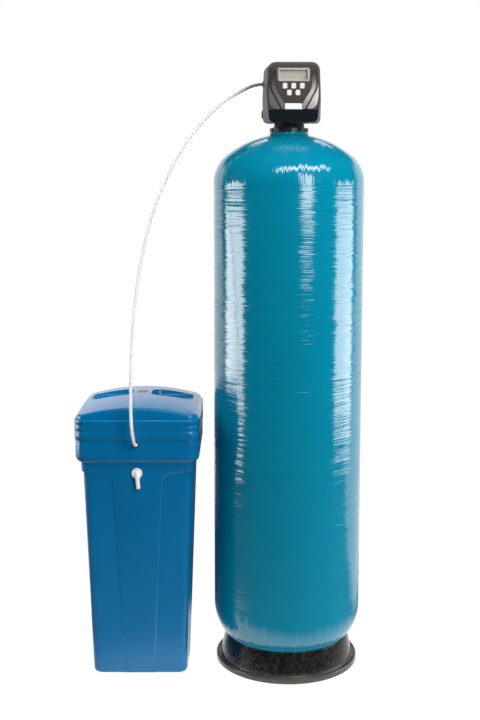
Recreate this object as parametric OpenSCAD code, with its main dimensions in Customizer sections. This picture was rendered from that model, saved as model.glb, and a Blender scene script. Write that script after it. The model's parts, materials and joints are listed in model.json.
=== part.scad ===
// Water softener: a fibre-wound pressure vessel with a motor-driven control head,
// and a square brine tank joined to it by one thin tube.
// Millimetres, +Z up, front towards -Y. The origin is the vessel's axis at the floor.

/* [Pressure vessel] */
// Outside diameter of the wound shell
vessel_d = 469; // [440:1:490]
// Floor to the top of the neck
vessel_h = 1698; // [1600:1:1760]
// Crown radius of the upper dome
top_crown_r = 315; // [300:1:340]
// Knuckle radius of the upper dome
top_knuckle_r = 110; // [95:1:125]
// Crown radius of the lower dome
bottom_crown_r = 284; // [270:1:300]
// Knuckle radius of the lower dome
bottom_knuckle_r = 150; // [135:1:165]
// Gap between the lower dome and the floor
base_gap = 10; // [6:1:16]
// Thickness of the wound shell
shell_wall = 3.5; // [2.5:0.5:5]
// Thickness of the inner liner
liner_wall = 3; // [2:0.5:4]
// Outside radius of the shell's neck
neck_r = 59.5; // [56:0.5:64]

/* [Base skirt] */
// How far the floor flange stays inside the shell
flange_inset = 5.5; // [0:0.5:14]
// Height of the floor flange
skirt_flange_h = 18; // [12:1:24]
// How far the skirt wall stays inside the shell above the flange
skirt_foot_inset = 20.5; // [16:0.5:26]
// How far the skirt wall stays inside the shell at its top
skirt_top_inset = 34.5; // [30:0.5:37]
// Width of the lip between the skirt wall and the seat
skirt_lip = 4; // [3:0.5:10]
// Width of the seat under the dome
skirt_seat_w = 46; // [30:1:60]
// Wall of the skirt
skirt_wall = 5; // [4:0.5:7]
// Ribs under the seat
skirt_ribs = 12; // [8:1:20]

/* [Neck and inner fittings] */
// Bore radius of the neck thread
insert_bore_r = 36.8; // [35:0.1:38]
// Wall of the threaded sleeve
insert_wall = 9; // [7:0.5:9]
// Length of the threaded sleeve below the neck
sleeve_len = 58; // [50:1:70]
// Radius of the castellated collar
collar_r = 60; // [56:0.5:64]
// Height of the castellated collar
collar_h = 13; // [10:0.5:18]
// Notches around the collar
collar_notches = 12; // [8:1:16]
// Outside diameter of the riser tube
riser_od = 26.7; // [25:0.1:28]
// Wall of the riser tube
riser_wall = 2.3; // [1.5:0.1:3]
// Lateral strainers on the lower hub
lateral_count = 8; // [6:1:10]
// Radius of one lateral
lateral_r = 8; // [6:0.5:9]
// Gap between the laterals' ends and the liner
lateral_gap = 30; // [20:1:45]
// Height of the laterals above the floor
lateral_z = 75; // [70:1:85]
// Top of the gravel support bed
gravel_top = 130; // [120:1:160]
// Top of the resin bed
resin_top = 1080; // [800:1:1300]

/* [Control valve] */
// Height of the valve barrel's axis above the neck
valve_rise = 68; // [66:1:72]
// Outside radius of the barrel
barrel_r = 34; // [33:0.5:34]
// Wall of the barrel
barrel_wall = 7; // [6:0.5:8]
// Length of the barrel in front of the vessel axis
barrel_front = 45; // [43:1:47]
// Length of the barrel behind the vessel axis
barrel_back = 55; // [53:1:58]
// Half the spacing of the two service ports
port_x = 56; // [54:1:58]
// Drop of the ports below the barrel axis
port_drop = 10; // [6:1:11]
// Outside radius of a port
port_r = 20; // [19.5:0.5:20.5]
// Bore radius of a port
port_bore_r = 13; // [12:0.5:13.5]
// Rear face of the ports
port_y = 70; // [66:1:76]
// Outside radius of the threaded service pipes
pipe_r = 16.6; // [15:0.1:17]
// Length of the threaded service pipes
pipe_len = 41; // [30:1:60]
// Outside radius of the port nuts
nut_r = 29; // [27:0.5:30]
// Height of the injector block above the barrel axis
block_rise = 56; // [50:1:60]
// Outside radius of the drain barb
drain_r = 8; // [7:0.5:9]

/* [Drive] */
// Gear module
gear_module = 1; // [0.95:0.05:1]
// Teeth of the main drive gear
drive_teeth = 48; // [44:1:48]
// Teeth of each pinion
pinion_teeth = 12; // [12:1:14]
// Teeth of the reduction wheel
wheel_teeth = 36; // [30:1:38]
// Sideways place of the reduction gear's axis
reduction_x = -14; // [-18:1:-10]
// Radius of the motor can
motor_r = 12; // [10:0.5:13]
// Length of the motor can
motor_len = 30; // [20:1:33]
// Radius of the piston rod
rod_r = 5; // [4:0.5:5.5]
// Stroke of the piston
piston_stroke = 24; // [20:1:24]

/* [Head cover] */
// Width of the cover at its face
cover_front_w = 164; // [154:1:168]
// Width of the cover at its rear rim
cover_rear_w = 182; // [174:1:188]
// Height of the cover
cover_h = 177; // [174:1:186]
// Depth from the rear rim to the middle of the face
cover_depth = 128.5; // [126:0.5:134]
// Rear rim of the cover behind the vessel axis
cover_rear = 18; // [17:1:20]
// Sideways offset of the cover from the vessel axis
cover_x = 8.5; // [3:0.5:10]
// Wall of the cover
cover_wall = 3; // [2.5:0.5:3.5]
// How much narrower each lower front corner is
cover_foot_taper = 9.5; // [6:0.5:11]
// Radius of the face's vertical crown
face_r = 400; // [350:10:600]
// Radius of the cover's top corners
cover_top_r = 25; // [18:1:30]
// Radius of the cover's bottom corners
cover_bottom_r = 15; // [10:1:20]
// Thickness of the metallic trim on the face
trim_t = 1.5; // [1.2:0.1:2]
// Bottom edge of the trim above the cover's underside
trim_rise = 37; // [34:1:40]

/* [Display and keys] */
// Width of the display bezel
bezel_w = 95; // [88:1:97]
// Height of the display bezel
bezel_h = 39.5; // [37:0.5:40.5]
// Width of the display window
window_w = 86; // [78:1:87]
// Height of the display window
window_h = 31.8; // [26:0.2:33]
// Middle of the display above the cover's underside
display_rise = 138.4; // [137:0.1:140]
// Width of a key
key_w = 13.6; // [12:0.2:15]
// Height of a key
key_h = 16; // [14:0.5:16]
// Spacing of the keys in a row
key_pitch = 25.8; // [24:0.2:28]
// Spacing of the two key rows
key_row = 20; // [20:0.5:22]
// Middle of the upper key row above the cover's underside
key_rise = 106.3; // [105:0.1:107]
// How far a key stands out of the trim
key_proud = 2; // [1:0.1:3]
// Travel of a key
key_travel = 1.5; // [1:0.1:2]
// Width of the blank plate under the keys
badge_w = 51.5; // [40:0.5:60]
// Height of the blank plate under the keys
badge_h = 17.6; // [14:0.2:18]

/* [Brine tank] */
// Sideways place of the brine tank's axis
brine_x = -468; // [-500:1:-440]
// Width of the tank at the floor
brine_base_w = 297; // [285:1:305]
// Width of the tank under the rim
brine_top_w = 341; // [335:1:345]
// Height of the tapered body
brine_body_h = 700; // [660:1:740]
// Radius of the body's upright corners
brine_corner_r = 25; // [18:1:35]
// How far the centre panels stand out under the rim
panel_proud = 5; // [3:0.5:7]
// How far the centre panels stand out at the floor
panel_foot = 2; // [1:0.5:4]
// Width of the sloping edge round each centre panel
panel_draft = 7; // [4:0.5:10]
// Width of a centre panel at the floor
panel_base_w = 80; // [60:1:100]
// Width of a centre panel below its flare
panel_top_w = 147; // [120:1:160]
// How far the rim stands out past the body's top
rim_overhang = 20.5; // [17.5:0.5:21]
// Height of the rim band
rim_h = 65; // [55:1:75]
// Radius of the rim's corners
rim_corner_r = 35; // [25:1:45]
// Wall of the tank and lid
brine_wall = 4; // [3:0.5:5]
// Overflow below the rim band
overflow_drop = 39; // [34:1:100]
// Tube hole below the rim's top edge
tube_hole_drop = 12; // [11:0.5:16]

/* [Brine lid] */
// How far the lid stands out over the rim
lid_overhang = 1.5; // [0.5:0.5:5]
// Height of the step in the lid's skirt above the rim
lid_skirt_h = 65; // [58:1:72]
// Inset of the skirt above its upper line
lid_step = 4; // [2:0.5:8]
// Radius of the edge between crown and skirt
lid_edge_r = 8; // [6:0.5:10]
// Radius of the lid's arch from side to side
lid_arch_r = 650; // [560:10:1000]
// Radius of the lid's crown from front to back
lid_crown_r = 3000; // [1500:100:5000]
// Depth of the hand grips
grip_depth = 22; // [14:1:26]
// Half the ridge between the hand grips
grip_inner = 32; // [28:1:46]
// Far side of the hand grips from the middle
grip_outer = 170; // [150:1:172]
// Radius of the round cap on the lid
lid_cap_r = 20; // [15:0.5:24]

/* [Brine well] */
// Outside radius of the well
well_r = 55; // [50:0.5:56]
// Gap between the well and the front wall at the floor
well_gap = 1.5; // [0.5:0.5:4]
// Height of the well's top above the rim
well_rise = 25; // [18:1:32]
// Radius of the float
float_r = 18; // [14:0.5:19]
// Length of the float
float_len = 60; // [40:1:80]
// How far the float hangs below its guide
float_drop = 283; // [250:1:300]
// Travel of the float
float_travel = 12; // [8:1:20]

/* [Hidden] */
$fn = 72;

// Clearances: still faces that meet, running faces, and a cut's overshoot
fit = 0.3;
run = 0.05;
over = 1;

// Vessel domes: heights from crown and knuckle radii
vessel_r = vessel_d / 2;
skirt_flange_r = vessel_r - flange_inset;
skirt_foot_r = vessel_r - skirt_foot_inset;
skirt_top_r = vessel_r - skirt_top_inset;
skirt_seat_r = skirt_top_r - skirt_lip;
function dome_h(crown, knuckle) = crown - sqrt(pow(crown - knuckle, 2) - pow(vessel_r - knuckle, 2));
pole_drop = 2;
top_z0 = vessel_h - pole_drop - dome_h(top_crown_r, top_knuckle_r);
bottom_z0 = base_gap + dome_h(bottom_crown_r, bottom_knuckle_r);
top_crown_z = vessel_h - pole_drop - top_crown_r;
bottom_crown_z = base_gap + bottom_crown_r;
inner_inset = shell_wall + fit + liner_wall;

// Neck radii, from the sleeve outwards
sleeve_r = insert_bore_r + insert_wall;
liner_neck_r = sleeve_r + fit + liner_wall;
riser_r = riser_od / 2;

// Heights of the head
flange_z = vessel_h + collar_h;
flange_h = 15;
cover_z = flange_z + flange_h;
valve_z = vessel_h + valve_rise;
port_z = valve_z - port_drop;
spigot_r = insert_bore_r - fit;
spigot_len = 30;
stem_r = 40;
block_z = valve_z + block_rise;
block_y = [-22, 10];
block_x = 45;
block_foot = 12;
bore_r = barrel_r - barrel_wall;
bore_back = barrel_back - barrel_wall;
// Cross passage from the barrel to both ports
cross_r = 17;
cross_y = 20;

// Stack of seals and spacers in the barrel
stack_count = 5;
seal_t = 3;
stack_y = -barrel_front + 1;
stack_len = bore_back - 2 - stack_y;
spacer_t = (stack_len - (stack_count + 1) * seal_t) / stack_count;
stack_r = bore_r - fit;
spacer_in_r = bore_r - 10;
seal_in_r = bore_r - 12;
land_r = seal_in_r - fit;
piston_y = [stack_y + 6, bore_back - piston_stroke - 10];
regen_r = 7;
regen_len = 14;

// Drive train, front to back
cap_t = 13;
cap_y = -barrel_front - cap_t;
bracket_t = 4;
bracket_y = cap_y - bracket_t;
wheel_t = 4;
gear_t = 4.5;
wheel_y = bracket_y - 1 - wheel_t;
gear_y = wheel_y - 0.5 - gear_t;
gear_cover_y = gear_y - 1;
gear_cover_t = 3;
hub_r = 8.5;
hub_back = -barrel_front - 1;
post_r = 2.5;
shaft_r = 1.5;
backlash = 0.22;
drive_distance = gear_module * (drive_teeth + pinion_teeth) / 2;
motor_distance = gear_module * (wheel_teeth + pinion_teeth) / 2;
reduction_z = valve_z + sqrt(pow(drive_distance, 2) - pow(reduction_x, 2));
motor_angle = 120;
motor_x = reduction_x + motor_distance * cos(motor_angle);
motor_z = reduction_z + motor_distance * sin(motor_angle);
gear_bosses = [[32, valve_z - 22], [-36, valve_z - 12], [14, valve_z + 50]];

// Cover face: an arc about X, and the places on it
face_y = cover_rear - cover_depth;
face_z = cover_z + cover_h / 2;
function on_face_y(z, r) = face_y + face_r - sqrt(r * r - pow(z - face_z, 2));
function face_tilt(z) = -asin((z - face_z) / face_r);
display_z = cover_z + display_rise;
key_z = cover_z + key_rise;
badge_z = cover_z + trim_rise + badge_h / 2 + 0.5;
key_corner = 3;
bezel_sink = 1.2;
bezel_proud = 2.5;
plate_sink = 0.8;
window_t = 1.5;
window_lap = 1.5;
keys = [[-key_pitch, key_z], [0, key_z], [key_pitch, key_z],
    [-key_pitch / 2, key_z - key_row], [key_pitch / 2, key_z - key_row]];
board_y = face_y + 18.5;
board_t = 1.6;
board_hw = 52;
board_z = [cover_z + 64, cover_z + cover_h - 17];
switch_h = 3.5;
lcd_t = 6;
back_plate_y = cover_rear - 6;
back_plate_t = 4;
arm_x = 56;
arm_z = valve_z + 34;
post_x = 49;
post_z = [board_z[0] + 6, board_z[1] - 6];

// Top pipes of the valve
refill_x = -38;
refill_z = cover_z + 121;
refill_r = 7;
refill_y = 32;
refill_end = -70;
nut_len = 12;
drain_x = 26;
drain_z = cover_z + 124;
drain_end = 62;
barb_len = 38;
injector_x = -11;
injector_r = 8;
top_bore = 22;
top_y = -6;

// Brine tank levels and widths
rim_z = brine_body_h;
rim_w = brine_top_w + 2 * rim_overhang;
rim_top = rim_z + rim_h;
overflow_z = rim_z - overflow_drop;
brine_slope = (brine_top_w - brine_base_w) / 2 / brine_body_h;
panel_slope = (panel_proud - panel_foot) / brine_body_h;
wall_tilt = atan(brine_slope + panel_slope);
function body_half(z) = brine_base_w / 2 + brine_slope * z;
function panel_half(z) = body_half(z) + panel_foot + panel_slope * z;
tube_hole_z = rim_top - tube_hole_drop;
tube_hole_r = 8;
lid_half = rim_w / 2 + lid_overhang;
crown_inset = lid_step + 2;
step_z = rim_top + lid_skirt_h;
function sag(r, d) = r - sqrt(r * r - d * d);
lid_top = step_z + 0.5 + lid_edge_r + sag(lid_arch_r, lid_half - crown_inset)
    + sag(lid_crown_r, lid_half - crown_inset);
lid_lip = 3.5;
panel_top_z = brine_body_h - 10;
panel_flare_r = 35;
rim_flare = 16;
grip_y = [4, 112];
lid_cap_y = 58;
floor_round = 12;
well_y = body_half(brine_wall) - brine_wall - 0.7 * floor_round - well_r - well_gap;
valve_axis = [brine_x, -well_y];
well_wall = 3;
well_h = rim_top + well_rise;
rod_x = 27;
rod_thick = 2.5;
tube_r = 4.75;
socket_r = tube_r + 0.35;
pickup_r = 6.35;
spout_tilt = 4;
spout_r = 6.5;
spout_len = 47;
spout_neck = 20;
tail_r = 10.7;
gasket_t = 2;
disc_t = 6;
nut_half = 15;
nut_t = 8;
well_bow = sqrt(pow(well_r - well_wall, 2) - pow(nut_half, 2));
nut_face = panel_half(overflow_z) - well_y - well_bow + 1.2;

// Brine tube route, from the head to the elbow in the well
route = [[-74, 32, 1847], [-84, 32, 1847], [-96, 32, 1846], [-121, 31, 1839], [-165, 28, 1817],
    [-208, 21, 1789], [-260, 9, 1740], [-306, -10, 1684], [-352, -36, 1611], [-396, -69, 1514],
    [-426, -98, 1426], [-454, -135, 1298], [-471, -170, 1165], [-479, -203, 1017], [-480, -228, 900],
    [-478, -240, 835], [-475, -240, 798], [-472, -230, 771], [-470, -210, 757], [-468, -192, 753],
    [-468, -150, 753], [-468, -98, 753]];
tube_steps = 3;
tube_sides = 10;

// Small geometry helpers
function unit(v) = v / norm(v);
function xy(p) = [p[0], p[1]];
function arc(c, r, a0, a1, n) = [for (i = [0:n]) let (a = a0 + (a1 - a0) * i / n) c + r * [cos(a), sin(a)]];
function turn(a) = a > 180 ? a - 360 : a < -180 ? a + 360 : a;
function corner_arc(a, b, c, r, n) = r <= 0 ? [b] :
    let (u = unit(a - b), w = unit(c - b), half = acos(u * w) / 2,
        m = b + unit(u + w) * r / sin(half), s = b + u * r / tan(half) - m, e = b + w * r / tan(half) - m,
        a0 = atan2(s[1], s[0]), sweep = turn(atan2(e[1], e[0]) - a0))
    arc(m, r, a0, a0 + sweep, n);
// Polygon whose points are [x, y, corner radius]
function round_poly(p, n = 6) = let (k = len(p))
    [for (i = [0:k - 1]) each corner_arc(xy(p[(i + k - 1) % k]), xy(p[i]), xy(p[(i + 1) % k]), p[i][2], n)];
function round_rect(hx, hy, r) = [[-hx, -hy, r], [hx, -hy, r], [hx, hy, r], [-hx, hy, r]];
function mirrored(p) = concat(p, [for (i = [len(p) - 1:-1:0]) [-p[i][0], p[i][1], p[i][2]]]);

// Skin over rings of equal point count, listed so that they climb towards the viewer of their outline
// The last ring is closed by a face, or by a fan to the apex if there is one
// Rings with a waist are paired: their end faces are strips from each point to its mirror image
module loft(rings, apex = [], paired = false) {
    n = len(rings[0]);
    last = (len(rings) - 1) * n;
    bottom = paired ? [for (i = [0:n / 2 - 2]) [i, i + 1, n - 2 - i, n - 1 - i]] : [[for (i = [0:n - 1]) i]];
    top = len(apex) == 0 ? [for (f = bottom) [for (i = [len(f) - 1:-1:0]) last + f[i]]] :
        [for (i = [0:n - 1]) [last + i, last + n, last + (i + 1) % n]];
    polyhedron(points = concat([for (ring = rings) each ring], len(apex) == 0 ? [] : [apex]), convexity = 6,
        faces = concat(bottom, top,
        [for (j = [0:len(rings) - 2]) for (i = [0:n - 1]) let (a = j * n + i, b = j * n + (i + 1) % n)
            each [[a, a + n, b], [b, a + n, b + n]]]));
}
module square_loft(sections, n = 5) {
    loft([for (s = sections) [for (p = round_poly(round_rect(s[1], s[1], s[2]), n)) [p[0], p[1], s[0]]]]);
}
module y_rod(r, y0, y1, x = 0, z = 0)
    translate([x, y0, z]) rotate([-90, 0, 0]) cylinder(r = r, h = y1 - y0);
module x_rod(r, x0, x1, y = 0, z = 0)
    translate([x0, y, z]) rotate([0, 90, 0]) cylinder(r = r, h = x1 - x0);
module y_prism(y0, y1)
    translate([0, y1, 0]) rotate([90, 0, 0]) linear_extrude(y1 - y0, convexity = 8) children();
module x_prism(x0, x1)
    translate([x0, 0, 0]) rotate([90, 0, 90]) linear_extrude(x1 - x0, convexity = 8) children();
module ring(major, minor) rotate_extrude() translate([major, 0]) circle(minor);

// Vessel outline from the lower pole up to radius end_r on the upper crown, offset inwards by inset
function vessel_profile(inset, end_r) =
    let (bottom_a = atan2(bottom_z0 - bottom_crown_z, vessel_r - bottom_knuckle_r),
        top_a = atan2(top_z0 - top_crown_z, vessel_r - top_knuckle_r),
        bottom_k = bottom_knuckle_r - inset, top_k = top_knuckle_r - inset, top_c = top_crown_r - inset)
    concat(arc([0, bottom_crown_z], bottom_crown_r - inset, -90, bottom_a, 14),
        arc([vessel_r - bottom_knuckle_r, bottom_z0], bottom_k, bottom_a, 0, 16),
        arc([vessel_r - top_knuckle_r, top_z0], top_k, 0, top_a, 16),
        arc([0, top_crown_z], top_c, top_a, acos(end_r / top_c), 14));
function reversed(p) = [for (i = [len(p) - 1:-1:0]) p[i]];
function dome_z(r, inset) = let (k = bottom_knuckle_r - inset, c = bottom_crown_r - inset)
    r <= (vessel_r - bottom_knuckle_r) / (bottom_crown_r - bottom_knuckle_r) * c ?
        bottom_crown_z - sqrt(c * c - r * r) :
        bottom_z0 - sqrt(k * k - pow(r - vessel_r + bottom_knuckle_r, 2));

// Radius of the lower dome at a height
function liner_r(z, inset) = let (k = bottom_knuckle_r - inset, c = bottom_crown_r - inset,
        join = (vessel_r - bottom_knuckle_r) / (bottom_crown_r - bottom_knuckle_r))
    z < bottom_z0 - k * sqrt(1 - join * join) ? sqrt(c * c - pow(bottom_crown_z - z, 2)) :
        vessel_r - bottom_knuckle_r + sqrt(k * k - pow(bottom_z0 - z, 2));

module vessel_wall(outer, outer_r, inner, inner_r) {
    rotate_extrude($fn = 128) polygon(concat(vessel_profile(outer, outer_r),
        [[outer_r, vessel_h], [inner_r, vessel_h]], reversed(vessel_profile(inner, inner_r))));
}
module tank_shell() color([0.05, 0.53, 0.63]) vessel_wall(0, neck_r, shell_wall, liner_neck_r + fit);
module tank_liner() color([0.85, 0.85, 0.82])
    vessel_wall(shell_wall + fit, liner_neck_r, inner_inset, sleeve_r + fit);

// Hollow skirt whose seat follows the lower dome
module tank_base() {
    seat_in = skirt_seat_r - skirt_seat_w;
    seat_z = dome_z(skirt_seat_r, -fit);
    under = -fit - skirt_wall;
    steps = 8;
    function seat_r(i) = skirt_seat_r - skirt_seat_w * i / steps;
    bead_r = 5;
    bead_rise = 2;
    fillet_r = 5;
    flange_top = skirt_flange_h - bead_rise;
    wall_in_top = skirt_top_r - skirt_wall;
    rib_t = 4;
    rib_floor = 6;
    color([0.07, 0.07, 0.07]) {
        rotate_extrude($fn = 128) polygon(concat(
            [[skirt_foot_r - skirt_wall, 0], [skirt_flange_r - 1, 0], [skirt_flange_r, 1]],
            arc([skirt_flange_r - bead_r, skirt_flange_h - bead_r], bead_r, 0, 125, 8),
            arc([skirt_foot_r + fillet_r, flange_top + fillet_r], fillet_r, 270, 190, 5),
            [[skirt_top_r, seat_z - 5], [skirt_top_r - 0.8, seat_z - 1.5], [skirt_top_r - 2.5, seat_z]],
            [for (i = [0:steps]) [seat_r(i), dome_z(seat_r(i), -fit)]],
            [for (i = [steps:-1:1]) [seat_r(i), dome_z(seat_r(i), under)]],
            [[wall_in_top, dome_z(skirt_seat_r, under) - skirt_wall]]));
        for (i = [0:skirt_ribs - 1]) rotate([90, 0, 360 * i / skirt_ribs])
            translate([0, 0, -rib_t / 2]) linear_extrude(rib_t) polygon(concat(
                [[seat_in + 2, rib_floor], [skirt_foot_r - skirt_wall + 1, rib_floor],
                    [wall_in_top + 1, dome_z(skirt_seat_r, under) - skirt_wall]],
                [for (i = [1:steps - 1]) [seat_r(i), dome_z(seat_r(i), under + 1)]],
                [[seat_in + 2, dome_z(seat_in + 2, under + 1)]]));
    }
}

// Castellated collar on the neck with its threaded sleeve
module neck_collar() color([0.06, 0.06, 0.06]) difference() {
    union() {
        translate([0, 0, vessel_h]) cylinder(r = collar_r, h = collar_h);
        translate([0, 0, vessel_h - sleeve_len]) cylinder(r = sleeve_r, h = sleeve_len + 1);
    }
    translate([0, 0, vessel_h - sleeve_len - over])
        cylinder(r = insert_bore_r, h = sleeve_len + collar_h + 2 * over);
    for (i = [0:collar_notches - 1]) rotate(360 * i / collar_notches)
        translate([collar_r - 5, -4, vessel_h + 4]) cube([10, 8, collar_h]);
}

// Strainers and tube that carry water down to the foot of the bed
hub_r_low = 24;
hub_z = dome_z(hub_r_low, inner_inset) + fit;
hub_h = lateral_z - hub_z + lateral_r + 12;
lateral_reach = liner_r(lateral_z, inner_inset) - lateral_gap;
socket_len = 20;
module bottom_distributor() color([0.9, 0.9, 0.88]) difference() {
    union() {
        translate([0, 0, hub_z]) cylinder(r = hub_r_low, h = hub_h);
        for (i = [0:lateral_count - 1]) rotate([0, 90, 360 * i / lateral_count])
            translate([-lateral_z, 0, 0]) cylinder(r = lateral_r, h = lateral_reach);
    }
    translate([0, 0, hub_z + hub_h - socket_len]) cylinder(r = riser_r + fit, h = socket_len + over);
}
riser_z = [hub_z + hub_h - socket_len, vessel_h + 7];
module riser_tube() color([0.92, 0.92, 0.9]) translate([0, 0, riser_z[0]]) difference() {
    cylinder(r = riser_r, h = riser_z[1] - riser_z[0]);
    translate([0, 0, -over]) cylinder(r = riser_r - riser_wall, h = riser_z[1] - riser_z[0] + 2 * over);
}
module top_distributor() {
    h = 34;
    r = spigot_r - 3;
    slots = 12;
    color([0.15, 0.15, 0.16]) translate([0, 0, vessel_h - spigot_len - h]) difference() {
        cylinder(r1 = r - 5, r2 = r, h = h);
        translate([0, 0, -over]) cylinder(r = riser_r + fit, h = h + 2 * over);
        for (i = [0:slots - 1]) rotate(360 * i / slots) translate([riser_r + 3, -1, 6]) cube([r, 2, h - 12]);
    }
}
// Media that fill the liner around the tube and the laterals
module media(points) color([0.75, 0.55, 0.25]) difference() {
    rotate_extrude($fn = 128) polygon(points);
    translate([0, 0, -over]) cylinder(r = riser_r + fit, h = vessel_h);
}
media_inset = inner_inset + fit;
media_r = vessel_r - media_inset;
module gravel_bed() difference() {
    low = [for (i = [0:8]) hub_r_low + (vessel_r - bottom_knuckle_r / 3 - hub_r_low) * i / 8];
    media(concat([for (r = low) [r, dome_z(r, media_inset)]],
        [[liner_r(gravel_top, media_inset), gravel_top], [0, gravel_top], [0, hub_z]]));
    translate([0, 0, hub_z - over]) cylinder(r = hub_r_low + fit, h = hub_h + over + fit);
    for (i = [0:lateral_count - 1]) rotate([0, 90, 360 * i / lateral_count])
        translate([-lateral_z, 0, 0]) cylinder(r = lateral_r + fit, h = lateral_reach + fit);
}
module resin_bed() {
    knuckle = bottom_knuckle_r - media_inset;
    a0 = asin((gravel_top - bottom_z0) / knuckle);
    media(concat([[0, gravel_top]], arc([vessel_r - bottom_knuckle_r, bottom_z0], knuckle, a0, 0, 6),
        [[media_r, resin_top], [0, resin_top]]));
}

// Main casting of the control valve
oring_r = 1.6;
neck_oring_z = vessel_h - 12;
riser_oring_z = vessel_h - 18;
port_oring_r = 16.4;
turbine_y = [port_y - 26, port_y - 12];
web_y = [turbine_y[0] - 8, turbine_y[0] - 4];
module valve_body() color([0.08, 0.08, 0.09]) {
    difference() {
        union() {
            translate([0, 0, flange_z]) cylinder(r1 = 49, r2 = 45, h = flange_h);
            translate([0, 0, flange_z]) cylinder(r = stem_r, h = valve_z - flange_z - 6);
            translate([0, 0, vessel_h - spigot_len]) cylinder(r = spigot_r, h = spigot_len + collar_h + 1);
            y_rod(barrel_r, -barrel_front, barrel_back, 0, valve_z);
            y_rod(12, barrel_back - 1, barrel_back + 9, 0, valve_z);
            x_rod(cross_r, -port_x, port_x, cross_y, port_z);
            for (s = [-1, 1]) y_rod(port_r, 0, port_y, s * port_x, port_z);
            translate([-block_x, block_y[0], valve_z + block_foot])
                cube([2 * block_x, block_y[1] - block_y[0], block_rise - block_foot]);
        }
        y_rod(bore_r, -barrel_front - over, bore_back, 0, valve_z);
        y_rod(regen_r + 0.5, bore_back - over, barrel_back + 5, 0, valve_z);
        translate([0, 0, vessel_h - spigot_len - over])
            cylinder(r = riser_r + fit, h = riser_z[1] - vessel_h + spigot_len + over + fit);
        translate([0, 0, vessel_h]) cylinder(r = riser_r - riser_wall, h = valve_rise);
        x_rod(cross_r - barrel_wall - 2, -port_x, port_x, cross_y, port_z);
        for (s = [-1, 1]) {
            y_rod(port_bore_r, 8, port_y + over, s * port_x, port_z);
            translate([s * port_x, port_y - 2.6, port_z]) rotate([-90, 0, 0])
                ring_cut(port_oring_r, oring_r + 0.2);
        }
        for (h = [[injector_x, injector_r], [drain_x, drain_r], [refill_x, refill_r - 3]])
            translate([h[0], top_y, block_z - top_bore]) cylinder(r = h[1], h = top_bore + over);
        translate([0, 0, neck_oring_z]) groove(spigot_r, 3.2, 3.6);
        translate([0, 0, riser_oring_z - 1.8]) cylinder(r = riser_r + fit + 2.9, h = 3.6);
    }
    y_prism(web_y[0], web_y[1]) translate([-port_x - 2, port_z - port_bore_r - 1])
        square([4, 2 * port_bore_r + 2]);
    y_rod(shaft_r, web_y[1] - 1, turbine_y[1] + 2, -port_x, port_z);
}
module ring_cut(major, half) rotate_extrude() translate([major - half, 0]) square([2 * half, 4]);
module groove(r, depth, width)
    rotate_extrude() translate([r - depth, -width / 2]) square([depth + over, width]);
module valve_orings() color([0.05, 0.05, 0.05]) {
    translate([0, 0, neck_oring_z]) ring(spigot_r - 1.5, oring_r);
    translate([0, 0, riser_oring_z]) ring(riser_r + fit + 1.4, 1.4);
    for (s = [-1, 1]) translate([s * port_x, port_y - 0.9, port_z]) rotate([90, 0, 0])
        ring(port_oring_r, oring_r);
}

// Seals and windowed spacers around the piston
module stack_ring(inner, y0, t) difference() {
    y_rod(stack_r, y0, y0 + t, 0, valve_z);
    y_rod(inner, y0 - over, y0 + t + over, 0, valve_z);
}
function seal_y(i) = stack_y + i * (seal_t + spacer_t);
module spacer_stack() {
    windows = 8;
    color([0.85, 0.85, 0.83]) for (i = [0:stack_count - 1]) difference() {
        stack_ring(spacer_in_r, seal_y(i) + seal_t, spacer_t);
        for (k = [0:windows - 1]) translate([0, seal_y(i) + seal_t + spacer_t / 2, valve_z])
            rotate([0, 360 * k / windows, 0]) cylinder(r = 4, h = bore_r);
    }
}
module stack_seals() color([0.1, 0.1, 0.1])
    for (i = [0:stack_count]) stack_ring(seal_in_r, seal_y(i), seal_t);
module main_piston() {
    lands = [[0, 12], [26, 38], [42, piston_y[1] - piston_y[0]]];
    color([0.2, 0.2, 0.22]) {
        y_rod(rod_r, gear_y + 1, piston_y[0] + 2, 0, valve_z);
        y_rod(8, piston_y[0] + 1, piston_y[1] - 1, 0, valve_z);
        for (s = lands) y_rod(land_r, piston_y[0] + s[0], piston_y[0] + s[1], 0, valve_z);
    }
}
module regenerant_piston() color([0.85, 0.85, 0.85]) difference() {
    y_rod(regen_r, piston_y[1], piston_y[1] + regen_len, 0, valve_z);
    for (i = [0:1]) translate([0, piston_y[1] + 4 + 5 * i, valve_z]) rotate([90, 0, 0])
        groove(regen_r, 1, 2);
}
module drive_cap() {
    lugs = 6;
    color([0.75, 0.75, 0.75]) difference() {
        union() {
            y_rod(barrel_r + 1, cap_y + 5, -barrel_front, 0, valve_z);
            y_rod(barrel_r - 8, cap_y, cap_y + 6, 0, valve_z);
        }
        y_rod(hub_r + run, cap_y - over, -barrel_front + over, 0, valve_z);
        for (i = [0:lugs - 1]) translate([0, 0, valve_z]) rotate([0, 360 * i / lugs, 0])
            translate([barrel_r - 3, cap_y, -4]) cube([10, cap_t - 3, 8]);
    }
}

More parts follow.
